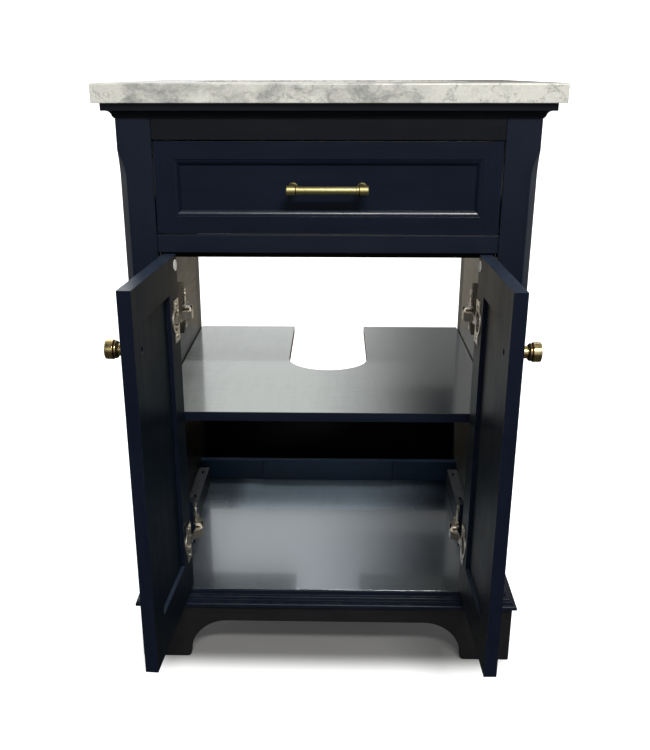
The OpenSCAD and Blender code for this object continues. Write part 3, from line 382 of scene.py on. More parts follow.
# Painted reflection: the insides of the sides take a tan film, darker on the left side than the right as
# painted shade.
inside_painted_reflection = {
    "left": lacquer("inside_lacquer_painted_reflection_left", (0.018, 0.0145, 0.008), grain_deep, satin=0.34, wear=0.2,
                    specular=0.30),
    "right": lacquer("inside_lacquer_painted_reflection_right", (0.070, 0.063, 0.047), grain_deep, satin=0.34, wear=0.2,
                     specular=0.9)}
outward_sign = {"left": -1, "right": 1}
for side, out in outward_sign.items():
    post = eased([f"front_post_{side}"], "cabinet", navy_upright, arris=0.0012, rings=3)
    # The scooped chamfer takes the lighter film, a painted highlight.
    give_faces(post, painted_highlight_film, lambda face: face.normal.x * out > 0.35 and face.normal.y < -0.35)
    eased([f"rear_post_{side}"], "cabinet", navy_upright, arris=0.0012, rings=3)
    eased([f"side_panel_{side}"], "cabinet", navy_upright, arris=0.0006, rings=1,
          inside=inside_painted_reflection[side])
    eased([f"side_rails_{side}"], "cabinet", navy_deep, arris=0.0010)
# The top rail takes the darker film, painted shade under the stone.
eased(["top_rail"], "cabinet", painted_shade_across, arris=0.0008)
eased(["middle_rail"], "cabinet", navy_across, arris=0.0012, rings=3)
eased(["bottom_rail"], "cabinet", navy_across, arris=0.0010)
eased(["door_stop"], "cabinet", stop_painted_shade, arris=0.0010)
eased(["back_top_rail"], "cabinet", navy_across, arris=0.0012)

# Crown and base mouldings and the bracket base: hardwood run through a moulding cutter, mitred and glued.
# The feet are worn to the brown wood at their inner corners, where the unit has been dragged.
# The crown's front takes the darker film, painted shade under the stone.
eased(["crown_front"], "cabinet", painted_shade_across, arris=0.0005)
eased(["crown_sides"], "cabinet", navy_deep, arris=0.0005)
eased(["base_moulding_front"], "cabinet", navy_across, arris=0.0005)
for side in ("left", "right"):
    eased([f"base_moulding_{side}"], "cabinet", navy_deep, arris=0.0005)
base_look = {"wear": 0.8, "thin": (0.11, 0.058, 0.034)}
# The base takes a lighter, greyer film than the navy elsewhere: painted light.
base_painted_light_film = (0.0125, 0.0122, 0.0140)
base_worn = lacquer("navy_lacquer_base", base_painted_light_film, grain_across, **base_look)
base_side_worn = lacquer("navy_lacquer_base_side", base_painted_light_film, grain_deep, **base_look)
for board_name, skin in (("front", base_worn), ("left", base_side_worn), ("right", base_side_worn)):
    eased([f"base_{board_name}"], "cabinet", skin, arris=0.0016, rings=3)


# Shelf and floor panel: boards with a satin film and fine wiping marks under a hazy film of dust and painted
# sheen, whose spread is painted light and shade. The shelf lies on four pins, and its notch is sawn out bare
# for the drain. The floor panel is let into the base.
def board_with_painted_sheen(name, film, dust_and_sheen, satin, left_x, right_x, front, rear, shade, ior, tint):
    """Hazy film of dust and painted sheen lies thick up to left_x and is gone at right_x: its spread is painted
    light.
    front and rear are how much lies on the board's front and behind a step near its back edge, and shade how
    much of it is left next to the left side, as painted shade."""
    rear_line, rear_fade, left_strip = (-0.250, -0.238), (-0.24, -0.12), (-0.195, -0.150)
    material, tree = new_material(name)
    where = object_place(tree)
    skin = link_up(tree, "ShaderNodeGroup", {
        "Film": film, "Grain": (1, 0.05, 1), "Wear": 0.0, "Wear Width": 0.0, "Dust": 0.0, "Cloud": 0.2},
        node_tree=lacquer_skin).outputs
    axes = split(tree, where)
    # Painted light: the hazy film is thick on the left and gone on the right, with a step near the back and
    # less next to the left side.
    across = ranged(tree, axes["X"], left_x, right_x, 1.0, 0.0, smooth=True)
    painted_rear_fade = ranged(tree, axes["Y"], *rear_fade, rear * 0.55, rear, smooth=True)
    painted_rear_step = ranged(tree, axes["Y"], *rear_line, front, painted_rear_fade, smooth=True)
    normal = link_up(tree, "ShaderNodeNewGeometry").outputs["Normal"]
    lying = ranged(tree, split(tree, normal)["Z"], 0.7, 0.98)
    # Fine wiping marks in both directions, long ones from side to side and shorter ones from front to back.
    marks = []
    for stretch, scale, amount in (((0.10, 1.0, 1.0), 170.0, 0.06), ((1.0, 0.14, 1.0), 80.0, 0.08)):
        drawn = link_up(tree, "ShaderNodeMapping", {"Vector": where, "Scale": stretch}).outputs[0]
        wipes = noise(tree, drawn, scale, 6.0, 0.6, 0.15)
        marks.append(ranged(tree, wipes, 0.3, 0.7, 1 - amount, 1 + amount))
    both_ways = calc(tree, "MULTIPLY", *marks)
    shaded_side = ranged(tree, axes["X"], *left_strip, shade, 1.0, smooth=True)
    share = across
    for factor in (shaded_side, both_ways, lying, painted_rear_step):
        share = calc(tree, "MULTIPLY", share, factor, use_clamp=True)
    surface(tree, {
        "Base Color": blend(tree, share, skin["Colour"], dust_and_sheen),
        "Roughness": calc(tree, "MULTIPLY", both_ways, satin),
        "IOR": ior, "Specular Tint": tint, "Coat Weight": calc(tree, "MULTIPLY", both_ways, 0.5),
        "Coat Roughness": 0.055, "Coat IOR": 2.0})
    return material


shelf_board = board_with_painted_sheen(
    "shelf_lacquer", film=(0.012, 0.0155, 0.026), dust_and_sheen=(0.66, 0.715, 0.69), satin=0.20,
    left_x=-0.05, right_x=0.20, front=0.58, rear=0.66, shade=0.86, ior=2.75, tint=(0.92, 1.0, 0.96))
floor_board = board_with_painted_sheen(
    "floor_lacquer", film=(0.012, 0.017, 0.030), dust_and_sheen=(0.64, 0.80, 0.96), satin=0.19,
    left_x=0.04, right_x=0.25, front=0.12, rear=0.92, shade=0.30, ior=2.75, tint=(0.84, 0.94, 1.0))
bare_edge = lacquer("bare_board_edge", (0.23, 0.085, 0.045), (1, 1, 0.05), satin=0.7, wear=0.0, cloud=0.5)
notch_half_width = 0.0722


def in_notch(face):
    """Whether a face is an upright one in the notch."""
    return 0.01 < abs(face.center.x) < notch_half_width and face.center.y > -0.30 and abs(face.normal.z) < 0.5


shelf_piece = eased(["shelf"], "cabinet", shelf_board, arris=0.0008)
give_faces(shelf_piece, bare_edge, in_notch)
give_faces(shelf_piece, navy_across,
           lambda face: abs(face.normal.y) > 0.7 and not -0.4 < face.center.y < -0.02)
eased(["floor_panel"], "cabinet", floor_board, arris=0.0008)


# Low back: a navy rail across the floor panel, glued between the rear posts, and a stop plate of the same board
# screwed to its middle, both in a lighter, bluer film that is painted light, and a thin near-black board
# behind, pinned to the rail, standing in for shade.
def mottled(name, dark, light, scale, detail, distance, strength, sockets, stretch=None, stops=(0.0, 1.0),
            **noise_settings):
    """A material of two tones that noise shades into each other, with the same noise as its relief."""
    material, tree = new_material(name)
    where = object_place(tree)
    if stretch:
        where = link_up(tree, "ShaderNodeMapping", {"Vector": where, "Scale": stretch}).outputs[0]
    level = noise(tree, where, scale, detail, **noise_settings)
    tone = link_up(tree, "ShaderNodeValToRGB", {0: level})
    for element, colour, stop in zip(tone.color_ramp.elements, (dark, light), stops):
        element.position = stop
        element.color = (*colour, 1)
    surface(tree, {"Base Color": tone.outputs[0], **sockets}, level, distance, strength)
    return material


low_rail_painted_light = lacquer("navy_lacquer_low_rail_painted_light", (0.018, 0.040, 0.075), grain_across, wear=0.3)
eased(["low_back_rail"], "cabinet", low_rail_painted_light, arris=0.0010)
eased(["stop_plate"], "cabinet", low_rail_painted_light, arris=0.0010)
# The board's near-black stands in for the shade behind the unit.
board = mottled("black_board", (0.0016, 0.0018, 0.0018), (0.0042, 0.0044, 0.0044), 260.0, 6.0, 0.0003, 0.5,
                {"Roughness": 0.92, "Specular IOR Level": 0.12})
eased(["lower_back_panel"], "cabinet", board, arris=0.0004)

# Corner blocks: triangles of pale pine, sawn and never painted. They are glued into the case's upper corners
# and carry the stone.
pine = mottled("raw_pine", (0.36, 0.22, 0.11), (0.56, 0.39, 0.22), 90.0, 5.0, 0.0003, 0.5, {"Roughness": 0.7},
               stretch=(1, 0.08, 1), stops=(0.35, 0.65), distortion=0.6)
eased(["corner_blocks"], "cabinet", pine, arris=0.0010)

# Tilt-out front: a frame of stiles and rails with a moulded inner edge and a flat sunk panel, lacquered as one.
# It turns down on two leaves at its lower edge and carries a plastic tray.
front_look = {"satin": 0.42, "wear": 0.1, "specular": 0.10}
front_upright = lacquer("navy_front_upright", navy, grain_up, **front_look)
front_across = lacquer("navy_front_across", navy, grain_across, **front_look)
eased(["drawer_stiles"], "tilt_front", front_upright, arris=0.0010, corner=24)
rails = eased(["drawer_rails"], "tilt_front", front_across, arris=0.0010, corner=24)
# The rails' upward-facing moulding takes the lighter film, a painted highlight.
give_faces(rails, painted_highlight_film, lambda face: face.normal.z > 0.3 and face.normal.y < -0.2)
eased(["drawer_panel"], "tilt_front", front_across, arris=0)
plastic = mottled("tray_plastic", (0.70, 0.70, 0.67), (0.80, 0.80, 0.77), 900.0, 2.0, 0.0001, 0.4,
                  {"Roughness": 0.42})
eased(["tilt_tray"], "tilt_front", plastic, arris=0.0012, rings=3)

# Doors: frame-and-panel doors of hardwood with a flat panel, lacquered all over and hung inset on two hinges
# each. Their free edges are rubbed. Their backs carry painted light and shade, and their top edges a lighter
# film, a painted highlight.
door_thin = (0.10, 0.052, 0.030)
# Painted light and shade on the backs: a darker film on the left door's back, a lighter one on the right's.
back_painted_light = {"left": (0.0060, 0.0105, 0.0170), "right": (0.0190, 0.0250, 0.0330)}
back_gloss = {"left": 0.05, "right": 0.14}
for side, out in outward_sign.items():
    body = f"{side}_door"
    door_upright = lacquer(f"{side}_door_upright", navy, grain_up, wear=0.7, thin=door_thin, specular=0.14)
    door_across = lacquer(f"{side}_door_across", navy, (0.06, 0.06, 1), wear=0.6, thin=door_thin,
                          specular=0.14)
    door_back_painted_light = lacquer(f"{side}_door_back_painted_light", back_painted_light[side], grain_up, satin=0.42, wear=0.5, thin=door_thin,
                        specular=back_gloss[side])
    # Painted highlight: the top edges take a lighter film than the faces.
    door_top_painted_highlight = lacquer(f"{side}_door_top_painted_highlight", (0.022, 0.036, 0.066), grain_deep, satin=0.30, wear=0.5,
                       thin=door_thin, specular=0.9)
    for node, skin, ease in (("stiles", door_upright, 0.0007), ("rails", door_across, 0.0007),
                             ("panel", door_upright, 0)):
        leaf = eased([f"{side}_door_{node}"], body, skin, arris=ease, corner=24)
        give_faces(leaf, door_back_painted_light, lambda face: face.normal.x * out < -0.5)
        give_faces(leaf, door_top_painted_highlight, lambda face: face.normal.z > 0.7 and face.normal.x * out >= -0.5)


# Marble top: a 25 mm slab of white marble with grey veins, polished, with a small arris ground along its edges
# and holes bored for three taps. The bowl's opening is cut through it and polished.
def marble_material():
    material, tree = new_material("white_grey_marble")
    where = object_place(tree)
    leaning = link_up(tree, "ShaderNodeMapping", {"Vector": where, "Rotation": (0.5, 0.35, 0.62),
                                                  "Scale": (1.0, 1.0, 1.6)}).outputs[0]
    drift = link_up(tree, "ShaderNodeTexNoise", {"Vector": leaning, "Scale": 3.2, "Detail": 7.0,
                                                 "Roughness": 0.62}).outputs["Color"]
    moved = vector_calc(tree, "ADD", leaning, vector_calc(tree, "SCALE", drift, Scale=0.55))

    def veins(scale, seed, width):
        """Lines where a noise passes through its middle."""
        shifted = vector_calc(tree, "ADD", moved, (seed, seed * 0.7, seed * 1.3))
        off_middle = calc(tree, "SUBTRACT", noise(tree, shifted, scale, 6.0, 0.55), 0.5)
        return ranged(tree, calc(tree, "ABSOLUTE", off_middle), 0.0, width, 1.0, 0.0, smooth=True)

    patches = ranged(tree, noise(tree, moved, 7.0, 8.0, 0.68), 0.38, 0.72, smooth=True)
    broad = calc(tree, "MULTIPLY", veins(4.2, 1.7, 0.060), patches)
    grain = noise(tree, where, 420.0, 4.0)
    stone = blend(tree, patches, (0.74, 0.735, 0.675), (0.50, 0.50, 0.465))
    for mask, share, colour in ((broad, 0.80, (0.20, 0.21, 0.21)),
                                (veins(9.5, 5.1, 0.018), 0.55, (0.24, 0.245, 0.24)),
                                (veins(21.0, 8.3, 0.010), 0.32, (0.30, 0.30, 0.285))):
        stone = blend(tree, calc(tree, "MULTIPLY", mask, share), stone, colour)
    grit = ranged(tree, grain, 0.3, 0.7, 0.93, 1.05)
    surface(tree, {"Base Color": vector_calc(tree, "SCALE", stone, Scale=grit),
                   "Roughness": ranged(tree, grain, 0.3, 0.7, 0.16, 0.26),
                   "Subsurface Weight": 0.08, "Subsurface Scale": 0.004}, grain, 0.00005, 0.4)
    return material


eased(["marble_top"], "cabinet", marble_material(), arris=0.0016, rings=3)

# Basin: an undermount bowl of vitreous china, glazed white. It is glued under the stone's opening and held up
# by four steel clips.
china = mottled("glazed_china", (0.76, 0.76, 0.74), (0.83, 0.83, 0.81), 14.0, 3.0, 0.0008, 0.3,
                {"Roughness": 0.09, "Coat Weight": 0.5, "Coat Roughness": 0.04})
eased(["basin"], "cabinet", china, arris=0.0025, rings=3, corner=40)


# Brass handles: the bar pull and the two knobs are turned brass with an antique satin finish, brushed round
# the turning, darker where hands don't rub it, and fixed from behind with machine screws.
def metal_skin_group():
    """Brushed metal: fine lines in its roughness and relief, and tarnish in patches."""
    group, start = skin_group("metal_skin", (
        ("Metal", "Color", (0.6, 0.5, 0.3, 1)), ("Tarnish", "Color", (0.2, 0.15, 0.08, 1)),
        ("Lines", "Vector", (1, 1, 1)), ("Age", "Float", 0.5), ("Polish", "Float", 0.3)))
    where = object_place(group)
    lines = noise(group, vector_calc(group, "MULTIPLY", where, start["Lines"]), 900.0, 4.0, 0.6)
    patch = ranged(group, noise(group, where, 110.0, 6.0, 0.65), 0.42, 0.7)
    aged = calc(group, "MULTIPLY", patch, start["Age"])
    rough = calc(group, "ADD", ranged(group, lines, 0.3, 0.7, -0.08, 0.08), start["Polish"])
    link_up(group, "NodeGroupOutput", {
        "Colour": blend(group, aged, start["Metal"], start["Tarnish"]),
        "Roughness": calc(group, "MULTIPLY_ADD", aged, 0.18, rough), "Relief": lines})
    return group


metal_skin = metal_skin_group()


def brushed(name, metal, tarnish, lines, polish, age, relief=0.5):
    """Metal whose brush lines run along the axis with the small number."""
    material, tree = new_material(name)
    skin = link_up(tree, "ShaderNodeGroup", {"Metal": metal, "Tarnish": tarnish, "Lines": lines,
                                             "Polish": polish, "Age": age}, node_tree=metal_skin).outputs
    surface(tree, {"Base Color": skin["Colour"], "Roughness": skin["Roughness"], "Metallic": 1.0},
            skin["Relief"], 0.00004, relief)
    return material


brass_dark = (0.12, 0.09, 0.045)
round_axis_y = (1.0, 0.02, 0.02)
pull_brass = brushed("antique_brass_pull", (0.48, 0.42, 0.20), brass_dark, (0.02, 1.0, 1.0), 0.47, 0.2,
                     relief=0.2)
tarnished = brushed("tarnished_brass", (0.11, 0.06, 0.028), (0.05, 0.03, 0.018), round_axis_y, 0.42, 0.5,
                    relief=0.2)
post_brass = brushed("antique_brass_post", (0.36, 0.30, 0.16), brass_dark, (0.08, 1.0, 0.08), 0.42, 0.5)
knob_brass = brushed("antique_brass_knob", (0.78, 0.61, 0.30), brass_dark, round_axis_y, 0.24, 0.05,
                     relief=0.04)


def nodes_tree(name, inputs):
    """A Geometry Nodes tree with a geometry in and out, these named inputs and a finish."""
    tree = bpy.data.node_groups.new(name, "GeometryNodeTree")
    tree.interface.new_socket("Geometry", in_out="INPUT", socket_type="NodeSocketGeometry")
    for label, kind, value in inputs:
        tree.interface.new_socket(label, in_out="INPUT", socket_type="NodeSocket" + kind).default_value = value
    tree.interface.new_socket("Finish", in_out="INPUT", socket_type="NodeSocketMaterial")
    tree.interface.new_socket("Geometry", in_out="OUTPUT", socket_type="NodeSocketGeometry")
    return tree, tree.nodes.new("NodeGroupInput").outputs


def end_tree(tree, start, geometry):
    """Makes the geometry real, gives it the finish and sends it out."""
    real = link_up(tree, "GeometryNodeRealizeInstances", {"Geometry": geometry})
    finish = link_up(tree, "GeometryNodeSetMaterial", {"Geometry": real.outputs[0],
                                                       "Material": start["Finish"]})
    link_up(tree, "NodeGroupOutput", {0: finish.outputs[0]})
    return tree


def grown(name, points, tree, values, numbers=()):
    """A piece that the tree grows from these points, as a plain mesh. numbers are extra values on the points:
    a name, a kind and one flat list for all of them."""
    seed_mesh = bpy.data.meshes.new(name)
    seed_mesh.from_pydata(points, [], [])
    for label, kind, flat in numbers:
        layer = seed_mesh.attributes.new(label, kind, "POINT")
        layer.data.foreach_set("vector" if kind == "FLOAT_VECTOR" else "value", flat)
    piece = bpy.data.objects.new(name, seed_mesh)
    scene.collection.objects.link(piece)
    modifier = piece.modifiers.new(tree.name, "NODES")
    modifier.node_group = tree
    for item in tree.interface.items_tree:
        if item.in_out == "INPUT" and item.name in values:
            modifier[item.identifier] = values[item.name]
    bake(piece)
    return piece


def lathe_tree():
    """Turns a profile round an axis: each point's x is its radius and its z the distance along the axis."""
    tree, start = nodes_tree("turned_on_a_lathe", (("Segments", "Int", 48),))
    profile = start["Geometry"]
    count = link_up(tree, "GeometryNodeAttributeDomainSize", {0: profile},
                    component="MESH").outputs["Point Count"]
    around = calc(tree, "ADD", start["Segments"], 1.0)
    sheet = link_up(tree, "GeometryNodeMeshGrid", {"Size X": 1.0, "Size Y": 1.0, "Vertices X": around,
                                                   "Vertices Y": count})
    index = link_up(tree, "GeometryNodeInputIndex").outputs[0]
    column = calc(tree, "FLOOR", calc(tree, "DIVIDE", index, count))
    row = calc(tree, "FLOORED_MODULO", index, count)
    where = link_up(tree, "GeometryNodeInputPosition").outputs[0]
    point = split(tree, link_up(tree, "GeometryNodeSampleIndex", {"Geometry": profile, "Value": where,
                                                                  "Index": row},
                                data_type="FLOAT_VECTOR").outputs[0])
    angle = calc(tree, "MULTIPLY", calc(tree, "DIVIDE", column, start["Segments"]), 2 * math.pi)
    x = calc(tree, "MULTIPLY", calc(tree, "COSINE", angle), point["X"])
    y = calc(tree, "MULTIPLY", calc(tree, "SINE", angle), point["X"])
    place = link_up(tree, "ShaderNodeCombineXYZ", {0: x, 1: y, 2: point["Z"]})
    shaped = link_up(tree, "GeometryNodeSetPosition", {"Geometry": sheet.outputs["Mesh"],
                                                       "Position": place.outputs[0]})
    closed = link_up(tree, "GeometryNodeMergeByDistance", {"Geometry": shaped.outputs[0],
                                                           "Distance": 0.00001})
    return end_tree(tree, start, closed.outputs[0])


lathe = lathe_tree()


def turned(name, profiles, body, material, grooves=(), replaces=()):
    """Turned pieces of one kind as one object, each a profile of (radius, distance) in millimetres and a place.
    Faces between the two distances of a groove are tarnished."""
    whole = bmesh.new()
    for number, (profile, place) in enumerate(profiles):
        part = grown(f"{name}_{number}", [(r / 1000, 0, a / 1000) for r, a in profile], lathe,
                     {"Segments": 48, "Finish": material})
        for polygon in part.data.polygons:
            along_mm = polygon.center.z * 1000
            polygon.material_index = int(any(low < along_mm < high for low, high in grooves))
        part.data.transform(place)
        whole.from_mesh(part.data)
        bpy.data.objects.remove(part)
    bmesh.ops.recalc_face_normals(whole, faces=whole.faces)
    mesh = bpy.data.meshes.new(name)
    whole.to_mesh(mesh)
    whole.free()
    piece = bpy.data.objects.new(name, mesh)
    scene.collection.objects.link(piece)
    mesh.materials.append(material)
    if grooves:
        mesh.materials.append(tarnished)
    round_over(piece, 0.0003, 2, 28)
    smooth_and_apply(piece, 30)
    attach(piece, body)
    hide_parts(*replaces)


def along(origin, direction):
    """A matrix that stands a turned piece's axis at the origin, along the direction."""
    return Matrix.Translation(origin) @ Vector(direction).to_track_quat("Z", "Y").to_matrix().to_4x4()


# The bar with its two collared end caps, and the posts that rise from round backplates on the panel.
post_half_pitch = 0.048
post_stops_short = 5.2
groove_low, groove_high = 12.4, 13.6
bar_low, bar_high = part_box("pull_bar")
bar_mid = (Vector(bar_low) + Vector(bar_high)) / 2
bar_half = (bar_high[0] - bar_low[0]) * 500  # half its length, in millimetres
cap = [(0, 0), (5.6, 0), (6.5, 0.9), (6.5, groove_low), (5.7, 12.7), (5.7, 13.3), (6.0, groove_high),
       (6.0, 16.4), (5.5, 17.0)]
bar_profile = [(r, a - bar_half) for r, a in cap]
bar_profile += [(r, bar_half - a) for r, a in reversed(cap)]
turned("eased_pull_bar", [(bar_profile, along(bar_mid, (1, 0, 0)))], "tilt_front", pull_brass,
       grooves=[(groove_low - bar_half, groove_high - bar_half),
                (bar_half - groove_high, bar_half - groove_low)],
       replaces=["pull_bar"])
post_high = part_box("pull_posts")[1]
post_reach = (post_high[1] - bar_mid.y) * 1000 - post_stops_short
post_profile = [(0, 0), (7.5, 0), (7.5, 1.2), (6.9, 2.0), (6.2, 2.3), (5.6, 3.2), (4.7, 4.2),
                (4.5, post_reach - 3), (4.9, post_reach), (0, post_reach)]
turned("eased_pull_posts", [(post_profile, along((sign * post_half_pitch, post_high[1], bar_mid.z), (0, -1, 0)))
                            for sign in (-1, 1)], "tilt_front", post_brass, replaces=["pull_posts"])

# Knobs: a drum head with a grooved rim and a collar, on a plain neck that flares where it meets the door.
knob_middle_from_foot = 0.0145
knob_profile = [(0, 0), (8.7, 0), (8.7, 0.9), (8.0, 1.7), (7.8, 10.9), (8.4, 11.2), (10.2, 12.4), (11.2, 14.0),
                (11.4, 14.9), (10.4, 15.5), (10.1, 16.2), (10.8, 16.6), (12.0, 17.1), (12.3, 17.7),
                (12.3, 26.6), (12.0, 27.3), (11.3, 27.6), (0, 27.6)]
door_hinge = {joint["child"]: joint for joint in frame["joints"]}


def door_ways(side):
    """The way that a door's face looks at rest, and the way from its hinge to its free edge."""
    out = outward_sign[side]
    opened = math.radians(-door_hinge[f"{side}_door"]["range_deg"][0])
    facing = Vector((out * math.sin(opened), -math.cos(opened), 0))
    return facing, Vector((-out * math.cos(opened), -math.sin(opened), 0))


def box_middle(node):
    low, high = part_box(node)
    return (Vector(low) + Vector(high)) / 2


for side in ("left", "right"):
    facing, to_edge = door_ways(side)
    foot = box_middle(f"{side}_knob") - facing * knob_middle_from_foot
    turned(f"eased_{side}_knob", [(knob_profile, along(foot, facing))], f"{side}_door", knob_brass,
           grooves=[(10.9, 11.3), (14.9, 16.7)], replaces=[f"{side}_knob"])

# Hinges: pressed steel cup hinges with a satin nickel finish. The cup sits in the door's back and its link
# joins the clip arm on a plate that is screwed to a block behind the post.
drawn_up = (1, 1, 0.15)
nickel = brushed("satin_nickel", (0.74, 0.70, 0.62), (0.34, 0.31, 0.26), drawn_up, 0.29, 0.25)
dull_nickel = brushed("dull_nickel", (0.54, 0.51, 0.45), (0.36, 0.33, 0.28), drawn_up, 0.50, 0.3)
mouth_painted_shade = brushed("nickel_painted_shade", (0.060, 0.040, 0.032), (0.03, 0.02, 0.018), drawn_up, 0.45, 0.5)
for side in ("left", "right"):
    cups = eased([f"{side}_hinge_cups"], f"{side}_door", nickel, arris=0.0003, corner=30)
    give_faces(cups, dull_nickel, lambda face: face.normal.y < -0.5)
arms = eased(["hinge_arms"], "cabinet", nickel, arris=0.0004, corner=30)
# The arm's front end round its mouth takes a near-black nickel, painted shade in the gap.
arm_tip_y = -0.497
give_faces(arms, mouth_painted_shade, lambda face: face.center.y < arm_tip_y)


def strip_tree():
    """Bends flat strip along rows of points that share a number, with rounded turns."""
    tree, start = nodes_tree("bent_strip", (
        ("Turn Radius", "Float", 0.003), ("Strip Thickness", "Float", 0.0014), ("Strip Width", "Float", 0.004)))
    points = link_up(tree, "GeometryNodeMeshToPoints", {"Mesh": start["Geometry"]})
    number = link_up(tree, "GeometryNodeInputNamedAttribute", {"Name": "row"}, data_type="INT")
    rows = link_up(tree, "GeometryNodePointsToCurves", {"Points": points.outputs[0],
                                                        "Curve Group ID": number.outputs[0]})
    bent = link_up(tree, "GeometryNodeFilletCurve", {"Curve": rows.outputs[0], "Count": 8,
                                                     "Limit Radius": True,
                                                     "Radius": start["Turn Radius"]}, mode="POLY")
    section = link_up(tree, "GeometryNodeCurvePrimitiveQuadrilateral", {"Width": start["Strip Thickness"],
                                                                        "Height": start["Strip Width"]})
    swept = link_up(tree, "GeometryNodeCurveToMesh", {"Curve": bent.outputs[0],
                                                      "Profile Curve": section.outputs[0],
                                                      "Fill Caps": True})
    return end_tree(tree, start, swept.outputs[0])


# A rim goes round three sides of each arm's mouth. Its corners are given by their distance from the cabinet's
# middle and their height over the hinge's own.
hinge_heights = (0.217, 0.5775)
mouth_y = -0.5135
rim_corners = ((0.2150, 0.0104), (0.2029, 0.0104), (0.2029, -0.0090), (0.2120, -0.0090))
mouth_points = [(out * from_middle, mouth_y, height + up)
                for out in (-1, 1) for height in hinge_heights for from_middle, up in rim_corners]
mouths = grown("hinge_mouth_rims", mouth_points, strip_tree(),
               {"Turn Radius": 0.0042, "Strip Thickness": 0.0013, "Strip Width": 0.0040, "Finish": nickel},
               [("row", "INT", [i // len(rim_corners) for i in range(len(mouth_points))])])
outward = bmesh.new()
outward.from_mesh(mouths.data)
bmesh.ops.recalc_face_normals(outward, faces=outward.faces)
outward.to_mesh(mouths.data)
outward.free()
round_over(mouths, 0.00035, 2, 30)
smooth_and_apply(mouths, 40)
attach(mouths, "cabinet")
# The upper blocks take the tan of the insides' painted reflection; the lower ones keep the navy.
block_painted_reflection = lacquer("hinge_block_painted_reflection", (0.075, 0.066, 0.048), grain_up, satin=0.5, wear=0.3)
blocks = eased(["hinge_blocks"], "cabinet", block_painted_reflection, arris=0.0012, rings=3)
between_hinges = sum(hinge_heights) / 2
give_faces(blocks, navy_upright, lambda face: face.center.z < between_hinges)

# Drawer runners and small steel: zinc-plated sheet steel, pressed and screwed to the sides. The runners have a
# slotted upper face, the tilt-out front turns on leaves in brackets, and the shelf lies on nickelled pins.
# The zinc's colour is darkened far below plated steel's, painted shade inside the case.
zinc = brushed("zinc_plated_steel_painted_shade", (0.11, 0.122, 0.136), (0.05, 0.056, 0.064), (1, 0.05, 1), 0.46, 0.5)
for node, body, metal, ease in (
        ("runner_brackets", "cabinet", zinc, 0.0003), ("runner_slides", "cabinet", zinc, 0.0003),
        ("tilt_brackets", "cabinet", zinc, 0.0003), ("tilt_leaves", "tilt_front", zinc, 0.0003),
        ("basin_clips", "cabinet", zinc, 0.0005), ("shelf_pins", "cabinet", nickel, 0.0004)):
    eased([node], body, metal, arris=ease, corner=30)


